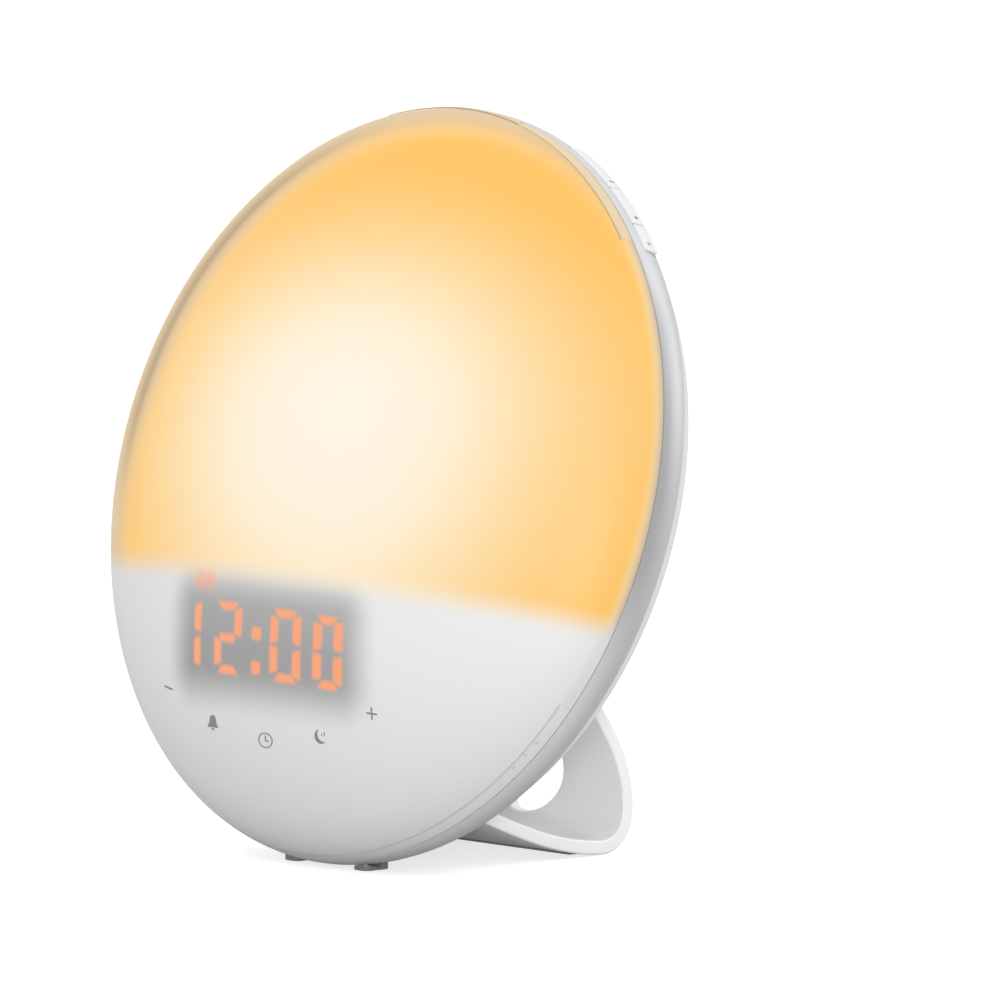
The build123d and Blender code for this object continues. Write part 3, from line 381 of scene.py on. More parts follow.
def plate(name, outline, low, high, rounding, steps=3):
    """A flat plate from a closed outline in x and y, with rounded edges top and bottom."""
    count = len(outline)
    outward = []
    for number in range(count):
        along = Vector(outline[(number + 1) % count]) - Vector(outline[number - 1])
        outward.append(Vector((along.y, -along.x)).normalized())
    area = sum(a[0] * b[1] - b[0] * a[1] for a, b in zip(outline, outline[1:] + outline[:1]))
    way = 1 if area > 0 else -1
    levels = [(rounding * (1 - math.sin(t)), low + rounding * (1 - math.cos(t))) for t in quarter(steps)]
    levels += [(inset, high + low - z) for inset, z in reversed(levels)]
    rows = []
    for inset, z in levels:
        spots = zip(outline, outward)
        rows.append([(x - way * n.x * inset, y - way * n.y * inset, z) for (x, y), n in spots])
    bm = bmesh.new()
    skin(bm, rows)
    tidy(bm)
    return as_object(name, bm)


def settle(piece):
    """Turns a piece's modifiers into plain mesh."""
    graph = bpy.context.evaluated_depsgraph_get()
    graph.update()
    mesh = bpy.data.meshes.new_from_object(piece.evaluated_get(graph), depsgraph=graph)
    piece.modifiers.clear()
    old, piece.data = piece.data, mesh
    bpy.data.meshes.remove(old)
    mesh.name = piece.name
    return piece


def drop(*pieces):
    """Removes helper objects with their meshes."""
    for piece in pieces:
        mesh = piece.data
        bpy.data.objects.remove(piece)
        bpy.data.meshes.remove(mesh)


def joined(name, pieces):
    """Several objects as one, with their meshes side by side."""
    bm = bmesh.new()
    for piece in pieces:
        bm.from_mesh(piece.data)
    drop(*pieces)
    return as_object(name, bm)


def worked(piece, *tools, operation="DIFFERENCE"):
    """Cuts, joins or overlaps a piece with tools, which are then removed."""
    for tool in tools:
        step = piece.modifiers.new("Work", "BOOLEAN")
        step.object = tool
        step.operation = operation
        step.solver = "EXACT"
    settle(piece)
    drop(*tools)
    return piece


SHARP_ANGLE, BEVEL_ANGLE = 35.0, 40.0


def finish(piece, look, body, slot, *replaces, place=None, bevel=0.0):
    """Rounds and shades a piece, lays it in place, gives it its material, and ties it to its body."""
    if bevel:
        rounding = piece.modifiers.new("Rounding", "BEVEL")
        rounding.width = bevel
        rounding.segments = 2
        rounding.limit_method = "ANGLE"
        rounding.angle_limit = math.radians(BEVEL_ANGLE)
        settle(piece)
    piece.data.transform(measures().lay_back() if place is None else place)
    piece.data.shade_smooth()
    piece.data.set_sharp_from_angle(angle=math.radians(SHARP_ANGLE))
    weighted = piece.modifiers.new("Shading", "WEIGHTED_NORMAL")
    weighted.keep_sharp = True
    settle(piece)
    piece.data.validate()
    piece.data.materials.clear()
    piece.data.materials.append(material(look))
    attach(piece, body)
    if replaces:
        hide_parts(*replaces)
    return piece


# ---------------------------------------------------------------- node helpers
class Level:
    """An output in a node tree that reckons like a number: each sign adds a Math node."""

    def __init__(self, tree, socket):
        self.tree = tree
        self.socket = socket

    def math(self, operation, *others):
        """A Math node's result for this value and others."""
        return result(self.tree, "ShaderNodeMath", dict(enumerate((self, *others))), operation=operation)

    def __add__(self, other):
        return self.math("ADD", other)

    def __sub__(self, other):
        return self.math("SUBTRACT", other)

    def __rsub__(self, other):
        return result(self.tree, "ShaderNodeMath", {0: other, 1: self}, operation="SUBTRACT")

    def __mul__(self, other):
        return self.math("MULTIPLY", other)

    def __truediv__(self, other):
        return self.math("DIVIDE", other)

    def __abs__(self):
        return self.math("ABSOLUTE")

    def eased(self, low, high, out_low=0.0, out_high=1.0):
        """A smooth step of this value between two levels."""
        inputs = {"Value": self, "From Min": low, "From Max": high, "To Min": out_low, "To Max": out_high}
        return result(self.tree, "ShaderNodeMapRange", inputs, interpolation_type="SMOOTHSTEP")

    def spread(self, low, high, out_low=0.0, out_high=1.0):
        """An even step of this value between two levels."""
        inputs = {"Value": self, "From Min": low, "From Max": high, "To Min": out_low, "To Max": out_high}
        return result(self.tree, "ShaderNodeMapRange", inputs)

    def ramp(self, stops):
        """A colour that follows this value through stops (level, display colour)."""
        low, high = stops[0][0], stops[-1][0]
        node = put(self.tree, "ShaderNodeValToRGB", {"Fac": self.spread(low, high)})
        elements = node.color_ramp.elements
        elements.remove(elements[1])
        for number, (level, shade) in enumerate(stops):
            spot = (level - low) / (high - low)
            element = elements.new(spot) if number else elements[0]
            element.position = spot
            element.color = (*linear(*shade), 1.0)
        return Level(self.tree, node.outputs["Color"])


def fill(tree, node, inputs):
    """Links or sets a node's inputs, by their names or numbers."""
    for key, value in inputs.items():
        if isinstance(value, Level):
            tree.links.new(value.socket, node.inputs[key])
        else:
            node.inputs[key].default_value = value


def put(tree, kind, inputs=None, **settings):
    """Adds a node, sets it up, and fills or links its inputs."""
    node = tree.nodes.new(kind)
    for key, value in settings.items():
        setattr(node, key, value)
    fill(tree, node, inputs or {})
    return node


def result(tree, kind, inputs=None, output=0, **settings):
    """Adds a node and returns one of its outputs."""
    return Level(tree, put(tree, kind, inputs, **settings).outputs[output])


def object_place(tree):
    """The place on the object in metres."""
    return result(tree, "ShaderNodeTexCoord", output="Object")


def noise(where, scale, detail, **more):
    """Noise of a scale at a place."""
    inputs = {"Vector": where, "Scale": scale, "Detail": detail, **more}
    return result(where.tree, "ShaderNodeTexNoise", inputs)


def blended(tree, share, first, second, blend="MIX"):
    """A mix of two colours; outputs or linear colours."""
    first, second = [value if isinstance(value, Level) else (*value[:3], 1.0) for value in (first, second)]
    inputs = {0: share, 6: first, 7: second}
    return result(tree, "ShaderNodeMix", inputs, 2, data_type="RGBA", blend_type=blend)


def scaled(colour, share):
    """A colour made lighter or darker."""
    return result(colour.tree, "ShaderNodeVectorMath", {0: colour, 3: share}, operation="SCALE")


def new_group(name, inputs, outputs, kind="ShaderNodeTree"):
    """An empty node group with named sockets; returns it with the values that it is given, by name."""
    tree = bpy.data.node_groups.new(name, kind)
    for label, socket, default in inputs:
        made = tree.interface.new_socket(label, in_out="INPUT", socket_type=socket)
        if default is not None:
            made.default_value = default
    for label, socket in outputs:
        tree.interface.new_socket(label, in_out="OUTPUT", socket_type=socket)
    return tree, results(tree, tree.nodes.new("NodeGroupInput"))


def results(tree, node):
    """A node's outputs by name."""
    return {socket.name: Level(tree, socket) for socket in node.outputs}


def use_group(tree, name, inputs=None):
    """Places a group's node in a tree; returns its results by name."""
    return results(tree, put(tree, "ShaderNodeGroup", inputs, node_tree=bpy.data.node_groups[name]))


FLOAT, COLOR, VECTOR = "NodeSocketFloat", "NodeSocketColor", "NodeSocketVector"
GEOMETRY, MATERIAL = "NodeSocketGeometry", "NodeSocketMaterial"
SURFACE = (("Colour", COLOR), ("Roughness", FLOAT), ("Height", FLOAT))


def disc_place_group(m):
    """Where a point lies in the disc frame, in millimetres."""
    tree, _ = new_group("Disc Place", (), (("Place", VECTOR), ("X", FLOAT), ("Y", FLOAT), ("Z", FLOAT)))
    inputs = {
        "Vector": object_place(tree),
        "Location": m.lay_back().inverted().translation,
        "Rotation": (m.lean - math.pi / 2, 0, 0),
        "Scale": (1 / MM, 1 / MM, 1 / MM),
    }
    place = result(tree, "ShaderNodeMapping", inputs, vector_type="POINT")
    parts = results(tree, put(tree, "ShaderNodeSeparateXYZ", {0: place}))
    put(tree, "NodeGroupOutput", {"Place": place, **parts})


def soft_bar_group():
    """A bar of light with soft edges, wider at one end if it flares."""
    defaults = {"X": 0.0, "Y": 0.0, "Centre X": 0.0, "Centre Y": 0.0, "Half Width": 1.0, "Half Height": 1.0,
                "Flare": 0.0, "Slant": 0.0, "Softness": 0.3}
    inputs = [(label, FLOAT, default) for label, default in defaults.items()]
    tree, g = new_group("Soft Bar", inputs, (("Mask", FLOAT),))
    soft = g["Softness"]
    across = g["X"] - g["Centre X"]
    up = g["Y"] - g["Centre Y"]
    over_x = abs(across) - (up * g["Flare"] + g["Half Width"])
    over_y = abs(up) - (across * g["Slant"] + g["Half Height"])
    corner_x = (over_x + soft).math("MAXIMUM", 0.0)
    corner_y = (over_y + soft).math("MAXIMUM", 0.0)
    away = (corner_x * corner_x + corner_y * corner_y).math("SQRT") - soft
    put(tree, "NodeGroupOutput", {"Mask": away.eased(soft, soft * -1.0)})


def moulded_group():
    """Moulded plastic or rubber: slow shade and gloss changes, and a fine grain."""
    inputs = (("Colour", COLOR, (0.8, 0.8, 0.8, 1)), ("Unevenness", FLOAT, 0.03), ("Roughness", FLOAT, 0.4),
              ("Gloss Change", FLOAT, 0.06), ("Grain Scale", FLOAT, 1500.0))
    tree, g = new_group("Moulded Surface", inputs, SURFACE)
    where = object_place(tree)
    slow = noise(where, 38.0, 3.0)
    grain = noise(where, g["Grain Scale"], 2.0)
    smear = noise(where, 95.0, 4.0, Roughness=0.6, Distortion=1.2)
    swing = (slow - 0.5) * g["Unevenness"]
    fine = (grain - 0.5) * g["Unevenness"]
    put(tree, "NodeGroupOutput", {
        "Colour": scaled(g["Colour"], fine * 0.6 + 1.0 + swing * 2.0),
        "Roughness": (smear - 0.5) * g["Gloss Change"] + g["Roughness"],
        "Height": slow * 0.35 + grain,
    })


def metal_group():
    """Plated or painted metal: fine streaks along one way, with soft blooms."""
    inputs = (("Colour", COLOR, (0.7, 0.7, 0.7, 1)), ("Roughness", FLOAT, 0.35), ("Streaks", FLOAT, 0.1),
              ("Streak Scale", VECTOR, (300.0, 300.0, 4000.0)))
    tree, g = new_group("Metal Surface", inputs, SURFACE)
    where = object_place(tree)
    drawn = result(tree, "ShaderNodeVectorMath", {0: where, 1: g["Streak Scale"]}, operation="MULTIPLY")
    streak = noise(drawn, 1.0, 3.0)
    off = (streak - 0.5) * g["Streaks"]
    slow = (noise(where, 60.0, 2.0) - 0.5) * 0.08
    put(tree, "NodeGroupOutput", {
        "Colour": scaled(g["Colour"], off + 1.0 + slow),
        "Roughness": off * 0.8 + g["Roughness"] + slow,
        "Height": streak,
    })


def board_group():
    """Circuit board: tracks under a solder mask, with bare pads."""
    inputs = (("Mask Colour", COLOR, (0.05, 0.2, 0.1, 1)), ("Track Colour", COLOR, (0.1, 0.35, 0.18, 1)),
              ("Pad Colour", COLOR, (0.6, 0.6, 0.55, 1)))
    tree, g = new_group("Board Surface", inputs, SURFACE)
    place = use_group(tree, "Disc Place")["Place"]
    inputs = {"Vector": place, "Scale": 0.28}
    net = result(tree, "ShaderNodeTexVoronoi", inputs, "Distance", distance="MANHATTAN")
    lines = (net * 7.0).math("PINGPONG", 0.5).eased(0.3, 0.42)
    inputs = {"Vector": place, "Scale": 0.45, "Randomness": 0.6}
    dots = result(tree, "ShaderNodeTexVoronoi", inputs, "Distance")
    pads = dots.eased(0.17, 0.13)
    tracks = blended(tree, lines, g["Mask Colour"], g["Track Colour"])
    put(tree, "NodeGroupOutput", {
        "Colour": blended(tree, pads, tracks, g["Pad Colour"]),
        "Roughness": lines * -0.08 + 0.42,
        "Height": lines + pads,
    })


# ---------------------------------------------------------------- materials
def new_material(name):
    """A material with its tree and its Principled shader."""
    material = bpy.data.materials.new(name)
    material.use_nodes = True
    return material, material.node_tree, material.node_tree.nodes["Principled BSDF"]


def surfaced(surface, depth, reach):
    """A surface group's results as a shader's inputs."""
    bump = {"Height": surface["Height"], "Strength": depth, "Distance": reach}
    normal = result(surface["Height"].tree, "ShaderNodeBump", bump)
    return {"Base Color": surface["Colour"], "Roughness": surface["Roughness"], "Normal": normal}


def moulded(name, shade, roughness=0.4, uneven=0.03, change=0.06, grain=1500.0, depth=0.05, coat=0.0):
    """A moulded plastic or rubber finish."""
    material, tree, shader = new_material(name)
    surface = use_group(tree, "Moulded Surface", {
        "Colour": (*shade[:3], 1), "Unevenness": uneven, "Roughness": roughness, "Gloss Change": change,
        "Grain Scale": grain,
    })
    fill(tree, shader, {**surfaced(surface, depth, 0.1 * MM), "Coat Weight": coat, "Coat Roughness": 0.12})
    return material


def metal(name, shade, roughness=0.35, streaks=0.1, scale=(300.0, 300.0, 4000.0), metallic=1.0, depth=0.05):
    """A plated or painted metal finish."""
    material, tree, shader = new_material(name)
    inputs = {"Colour": (*shade[:3], 1), "Roughness": roughness, "Streaks": streaks, "Streak Scale": scale}
    surface = use_group(tree, "Metal Surface", inputs)
    fill(tree, shader, {**surfaced(surface, depth, 0.05 * MM), "Metallic": metallic})
    return material


def board(name, mask, track, pad):
    """A circuit board finish."""
    material, tree, shader = new_material(name)
    inputs = {"Mask Colour": (*mask, 1), "Track Colour": (*track, 1), "Pad Colour": (*pad, 1)}
    fill(tree, shader, surfaced(use_group(tree, "Board Surface", inputs), 0.3, 0.05 * MM))
    return material


# Figures: (middle x, half width, lit bars). Bars are named a to g, clockwise from the top, g in the middle.
FIGURES = ((-26.9, 4.9, "bc"), (-11.7, 4.9, "abged"), (8.1, 4.95, "abcdef"), (21.3, 4.35, "abcdef"))
FIGURE_TOP, FIGURE_BOTTOM = -34.8, -50.7
FIGURE_SLOPE = -0.019
UPRIGHT_HALF, LEVEL_HALF = 1.28, 0.92
COLON = (-1.55, (-40.9, -48.45))
COLON_HALF = (1.5, 1.4)
WINDOW = {"Centre X": -0.4, "Centre Y": -42.2, "Half Width": 30.6, "Half Height": 12.6, "Softness": 6.2}
WINDOW_SHADE = (149, 149, 149)
INDICATOR_AT = (-23.3, -19.7)
INDICATOR = {"Centre Y": -30.2, "Half Width": 2.1, "Half Height": 1.75, "Softness": 1.75}
INDICATOR_SHARE = 0.62

# The glow: its middle, how it is squeezed to the right, left and downwards, and its colours by distance.
LIGHT_CENTRE = (17.0, 9.0)
SQUEEZE_RIGHT, SQUEEZE_LEFT, SQUEEZE_DOWN = 0.76, 0.63, 0.75
GLOW = (
    (0, (255, 244, 228)), (14, (255, 243, 222)), (22, (255, 240, 212)), (31, (255, 230, 186)),
    (41, (254, 217, 152)), (51, (254, 203, 117)), (58, (254, 196, 95)), (68, (255, 191, 78)),
    (76, (255, 190, 74)),
)
DIVIDE_TOP, DIVIDE_BOTTOM = -23.5, -31.5

# The rim: painted shade where the glow looks thin at the dome's edge; its colours by a height over the disc
# that is tilted to the right, with a painted dark line on the upper left.
RIM_TILT = (0.174, -0.021)
RIM_START, RIM_FULL, RIM_SHARE = 18.5, 12.5, 0.8
# Where the painted dark line of the rim lies, across and up.
LINE_ACROSS, LINE_UP = (-4.0, -50.0), (-17.0, 14.0)
PLAIN_RIM_SHADE = (
    (-6, (254, 208, 128)), (0, (236, 209, 163)), (4.5, (198, 187, 167)), (6.5, (204, 189, 162)),
    (8, (210, 191, 155)), (9.5, (215, 190, 147)), (11, (223, 191, 139)), (13, (240, 199, 128)),
    (15, (251, 201, 116)), (18, (255, 201, 108)),
)
LINED_RIM_SHADE = (
    (-8, (254, 209, 130)), (-2, (240, 206, 148)), (4, (212, 193, 160)), (7.5, (183, 168, 141)),
    (9.2, (163, 148, 121)), (10.1, (156, 141, 114)), (10.8, (174, 156, 126)), (11.5, (196, 176, 141)),
    (13, (218, 194, 152)), (15, (236, 202, 143)), (17, (249, 206, 136)),
)
# The narrow edge that touches the silver band: painted shade, its colours darkening by height towards the
# band.
EDGE = (
    (1.6, (190, 178, 160)), (2.3, (206, 188, 158)), (2.9, (226, 200, 154)), (3.6, (240, 206, 148)),
    (4.6, (250, 208, 138)),
)
EDGE_START, EDGE_FULL = 5.6, 3.4
SPILL, SPILL_END = (0.042, 0.042, 0.042), -70.0
# The second is the grey of a painted shadow along the lens's seam with the trims.
BLACK, SEAM_SHADOW_GREY = (0.0, 0.0, 0.0), (0.3, 0.3, 0.31)
# Of a lit colour: the share that is light, what the lens's own colour loses, and what the painted rim shade
# takes off.
LIT_LIGHT, LIT_OWN, LIT_RIM = 0.83, 0.88, -0.08
LENS_COAT, LENS_COAT_ROUGHNESS = 0.3, 0.45
# Painted shade and painted reflection on the band: its brightness behind, from low to high, and in front:
# low, and what is added at the top.
BAND_FAR = (-25.0, 35.0, 0.97, 1.12)
BAND_NEAR, BAND_NEAR_TOP = (-8.0, -46.0, 0.76, 1.27), (38.0, 58.0, 0.0, 0.4)


def figure_bars():
    """Every lit bar as (x, y, half width, half height, flare, slant)."""
    bars = []
    middle = (FIGURE_TOP + FIGURE_BOTTOM) / 2
    upright = (FIGURE_TOP - middle) / 2 - 1.05
    upper, lower = (FIGURE_TOP + middle) / 2, (FIGURE_BOTTOM + middle) / 2
    for centre, half, lit in FIGURES:
        side = half - UPRIGHT_HALF
        inner = half - 2 * UPRIGHT_HALF + 0.55
        shapes = {
            "a": (-0.35, FIGURE_TOP - LEVEL_HALF, inner, LEVEL_HALF, 0.75, 0.0),
            "g": (-0.2, middle, inner - 0.1, LEVEL_HALF, 0.0, 0.0),
            "d": (0.1, FIGURE_BOTTOM + LEVEL_HALF, inner, LEVEL_HALF, -0.75, 0.0),
            "f": (-side, upper - 0.75, UPRIGHT_HALF, upright - 0.1, 0.0, -0.2),
            "b": (side, upper - 0.25, UPRIGHT_HALF, upright + 0.1, 0.0, 0.2),
            "e": (-side, lower + 0.75, UPRIGHT_HALF, upright - 0.1, 0.0, -0.2),
            "c": (side, lower + 0.25, UPRIGHT_HALF, upright + 0.1, 0.0, 0.2),
        }
        for name in lit:
            x, *rest = shapes[name]
            bars.append((centre + x, *rest))
    return bars + [(COLON[0], y, *COLON_HALF, 0.0, 0.0) for y in COLON[1]]


def lit_part(tree, x, y, z):
    """Colours of the part over the light, with painted shade at its rim and edge, and how strong that painted
    shade is.
    """
    across = x - LIGHT_CENTRE[0]
    across = (across * SQUEEZE_RIGHT).math("MAXIMUM", across * -SQUEEZE_LEFT)
    up = y - LIGHT_CENTRE[1]
    up = up.math("MAXIMUM", up * -SQUEEZE_DOWN)
    shade = (across * across + up * up).math("SQRT").ramp(GLOW)

    # painted shade at the rim, with a painted dark line on the upper left
    tilted = x * RIM_TILT[0] + (y * RIM_TILT[1] + z)
    lined = x.eased(*LINE_ACROSS) * y.eased(*LINE_UP)
    rim = tilted.eased(RIM_START, RIM_FULL, 0.0, RIM_SHARE)
    shade = blended(tree, rim, shade, blended(tree, lined, tilted.ramp(PLAIN_RIM_SHADE), tilted.ramp(LINED_RIM_SHADE)))
    # painted shade along the edge by the silver band
    edge = z.eased(EDGE_START, EDGE_FULL)
    return blended(tree, edge, shade, z.ramp(EDGE)), rim.math("MAXIMUM", edge)


def figures_mask(tree, x, y):
    """1 where the figures, the colon and the two small lights are lit."""
    sloped = x * -FIGURE_SLOPE + y
    names = ("Centre X", "Centre Y", "Half Width", "Half Height", "Flare", "Slant")
    mask = None
    for bar in figure_bars():
        inputs = {"X": x, "Y": sloped, **dict(zip(names, bar)), "Softness": 0.7}
        lit = use_group(tree, "Soft Bar", inputs)["Mask"]
        mask = lit if mask is None else mask.math("MAXIMUM", lit)
    for centre in INDICATOR_AT:
        lamp = use_group(tree, "Soft Bar", {"X": x, "Y": y, "Centre X": centre, **INDICATOR})["Mask"]
        mask = mask.math("MAXIMUM", lamp * INDICATOR_SHARE)
    return mask


def lens_material(finishes):
    """Milky lens: warm light above the divide with painted shade at its rim and edge, a soft dark window with
    lit figures, satin white below.
    """
    material, tree, shader = new_material("Milky lens")
    place = use_group(tree, "Disc Place")
    x, y, z = place["X"], place["Y"], place["Z"]
    lit_shade, thin = lit_part(tree, x, y, z)
    lit = y.eased(DIVIDE_BOTTOM, DIVIDE_TOP)

    window = use_group(tree, "Soft Bar", {"X": x, "Y": y, **WINDOW})["Mask"]
    dark = window * y.eased(-30.0, -48.0, 0.85, 1.0)
    milk = blended(tree, dark, tuple(finishes.milk), linear(*WINDOW_SHADE))
    # painted shadow: the milky lens greys a little towards its seam with the trims
    milk = blended(tree, z.eased(5.2, 4.2, 0.0, 0.12), milk, SEAM_SHADOW_GREY)
    below = use_group(tree, "Moulded Surface", {
        "Colour": milk, "Unevenness": 0.008, "Roughness": 0.46, "Gloss Change": 0.03, "Grain Scale": 900.0,
    })
    shade = blended(tree, lit, below["Colour"], lit_shade)
    # the painted rim and edge shade also takes some of the light away
    shine = lit * (thin * LIT_RIM + 1.0)
    mask = figures_mask(tree, x, y)
    shade = blended(tree, mask, shade, tuple(finishes.digit))
    shine = shine.math("MAXIMUM", mask)

    # part of a lit colour is light, the rest is the lens's own colour; a little light spills below the divide
    spill = y.eased(SPILL_END, DIVIDE_TOP) * (1.0 - window) * (1.0 - lit)
    light = blended(tree, shine * LIT_LIGHT, BLACK, shade)
    fill(tree, shader, {
        **surfaced(below, 0.02, 0.1 * MM),
        "Base Color": blended(tree, shine * LIT_OWN, shade, BLACK),
        "Emission Color": blended(tree, 1.0, light, blended(tree, spill, BLACK, SPILL), "ADD"),
        "Emission Strength": 1.0, "Specular IOR Level": 0.2, "Coat Weight": LENS_COAT,
        "Coat Roughness": LENS_COAT_ROUGHNESS,
    })
    return material


def trim_material(name, shade, line):
    """A trim's plastic with a painted shadow line along its front edge, at the seam."""
    material, tree, shader = new_material(name)
    # painted shadow of the seam gap along the front edge
    seam = use_group(tree, "Disc Place")["Z"].eased(4.45, 4.8)
    surface = use_group(tree, "Moulded Surface", {
        "Colour": blended(tree, seam * 0.6, shade, line), "Unevenness": 0.02, "Roughness": 0.42,
        "Gloss Change": 0.06, "Grain Scale": 1500.0,
    })
    fill(tree, shader, {**surfaced(surface, 0.04, 0.1 * MM), "Specular IOR Level": 0.4})
    return material


def band_material(finishes):
    """Satin silver paint with painted shade and painted reflection: a little lighter or darker by height and
    along its front edge.
    """
    material = metal("Satin silver", finishes.silver, 0.4, 0.03, (900.0, 900.0, 900.0), 0.5, 0.02)
    tree = material.node_tree
    shader = tree.nodes["Principled BSDF"]
    place = use_group(tree, "Disc Place")
    y = place["Y"]
    # painted shade and painted reflection, by height and towards the front edge
    front = place["Z"].eased(-4.8, 1.2)
    near = y.eased(*BAND_NEAR) + y.eased(*BAND_NEAR_TOP)
    share = result(tree, "ShaderNodeMix", {0: front, 2: y.spread(*BAND_FAR), 3: near})
    plain = Level(tree, shader.inputs["Base Color"].links[0].from_socket)
    fill(tree, shader, {"Base Color": scaled(plain, share)})
    return material


def make_materials(m, finishes):
    """Builds the groups and every finish, by material name."""
    disc_place_group(m)
    soft_bar_group()
    moulded_group()
    metal_group()
    board_group()
    grey = (0.045, 0.045, 0.047)
    made = [
        lens_material(finishes),
        moulded("Touch print", finishes.mark, 0.55, 0.02),
        # the last colour of each trim is its painted seam shadow, warm on the upper trim from the painted
        # glow
        trim_material("Warm trim", tuple(finishes.warm_trim), linear(140, 112, 78)),
        trim_material("Grey trim", tuple(finishes.grey_trim), linear(170, 170, 171)),
        band_material(finishes),
        moulded("Key white", finishes.key, 0.36, 0.015),
        moulded("Cover white", finishes.case, 0.32, 0.012, 0.05, 1300.0, 0.03),
        moulded("Stand white", finishes.stand, 0.3, 0.012, 0.05, 1300.0, 0.02),
        moulded("Rubber", finishes.rubber, 0.62, 0.12, 0.12, 2500.0, 0.25),
        moulded("Pad rubber", (0.26, 0.26, 0.265), 0.7, 0.1, 0.12, 2500.0, 0.25),
        metal("Screw steel", finishes.screw, 0.34, 0.12),
        moulded("Frame white", (0.69, 0.69, 0.66), 0.6, 0.05, 0.1, 1200.0, 0.12),
        moulded("Reflector white", (0.85, 0.85, 0.8), 0.7, 0.03, 0.1, 1800.0, 0.1),
        moulded("Black plastic", grey, 0.5, 0.2, 0.12, 1500.0, 0.15),
        moulded("Chip black", (0.03, 0.03, 0.032), 0.58, 0.25, 0.1, 3000.0, 0.2),
        moulded("Display resin", (0.07, 0.07, 0.07), 0.22, 0.1, 0.05, 900.0, 0.04),
        moulded("Segment resin", linear(253, 165, 120), 0.35, 0.05, 0.05, 2000.0, 0.05),
        moulded("Phosphor", (0.88, 0.45, 0.06), 0.3, 0.15, 0.1, 4000.0, 0.1, coat=0.6),
        moulded("Socket nylon", (0.72, 0.68, 0.56), 0.5, 0.06, 0.1, 1500.0, 0.1),
        moulded("Cable white", (0.7, 0.7, 0.73), 0.45, 0.05, 0.1, 1200.0, 0.08),
        moulded("Cone paper", (0.012, 0.012, 0.013), 0.85, 0.4, 0.1, 2600.0, 0.6),
        moulded("Foam", (0.02, 0.02, 0.02), 0.95, 0.4, 0.1, 3500.0, 0.8),
        moulded("Ferrite", (0.06, 0.06, 0.063), 0.6, 0.3, 0.15, 2200.0, 0.3),
        metal("Spring steel", (0.55, 0.55, 0.53), 0.28, 0.15),
        metal("Can aluminium", (0.6, 0.6, 0.61), 0.3, 0.2, (200.0, 200.0, 3000.0)),
        metal("Crystal can", (0.58, 0.58, 0.55), 0.25, 0.12),
        metal("Cell steel", (0.62, 0.62, 0.62), 0.24, 0.1, (1500.0, 1500.0, 300.0)),
        metal("Basket paint", (0.035, 0.035, 0.037), 0.4, 0.2, (900.0, 900.0, 900.0), 0.3),
        board("Green board", (0.02, 0.13, 0.055), (0.035, 0.21, 0.09), (0.55, 0.53, 0.45)),
        board("White board", (0.72, 0.72, 0.7), (0.66, 0.66, 0.63), (0.6, 0.58, 0.5)),
    ]
    return {material.name: material for material in made}


def measures():
    """The sizes as they stand in the scene."""
    return Measures(bpy.context.scene.clock_sizes)


def material(name):
    """A finish by name; the groups and finishes are made the first time."""
    if "Milky lens" not in bpy.data.materials:
        make_materials(measures(), bpy.context.scene.clock_finishes)
    return bpy.data.materials[name]


# ---------------------------------------------------------------- shells of the disc
# Degrees between neighbouring columns of the rim's pieces and of the keys.
ARC_STEP, KEY_STEP = 1.2, 0.6
DOME_STEPS, INSIDE_STEPS = 60, 30
SKIRT_END = -4.0
SLOT_LEVELS = (-2.0, -3.1, -4.2)
LIP_TOP, LIP_FOOT = -4.7, -7.1
# The cover's shoulder and the edge of its back: how far inside the disc's radius, and the shoulder's height.
SHOULDER_IN, SHOULDER_Z, BACK_IN = 5.7, -11.8, 35.5
CASE_SCREW_SEAT = -15.0
STAND_SCREW_SINK = 1.3
GRILLE_RINGS, GRILLE_DEPTH = 3, 8.0
WELL_RADIUS, THREAD_RADIUS = 2.9, 1.45


def key_opening(m, low, high):
    """The stretch of rim, between two heights, through which the side keys reach their switches."""
    outline = rectangle(m.skirt_inner - 1.0, low, m.skirt_outer + 0.2, high)
    spots = angles(KEY_GAPS[-1] - 1.5, KEY_GAPS[0] + 1.5, ARC_STEP)
    return revolved_object("key_opening", [(spot, outline) for spot in spots])


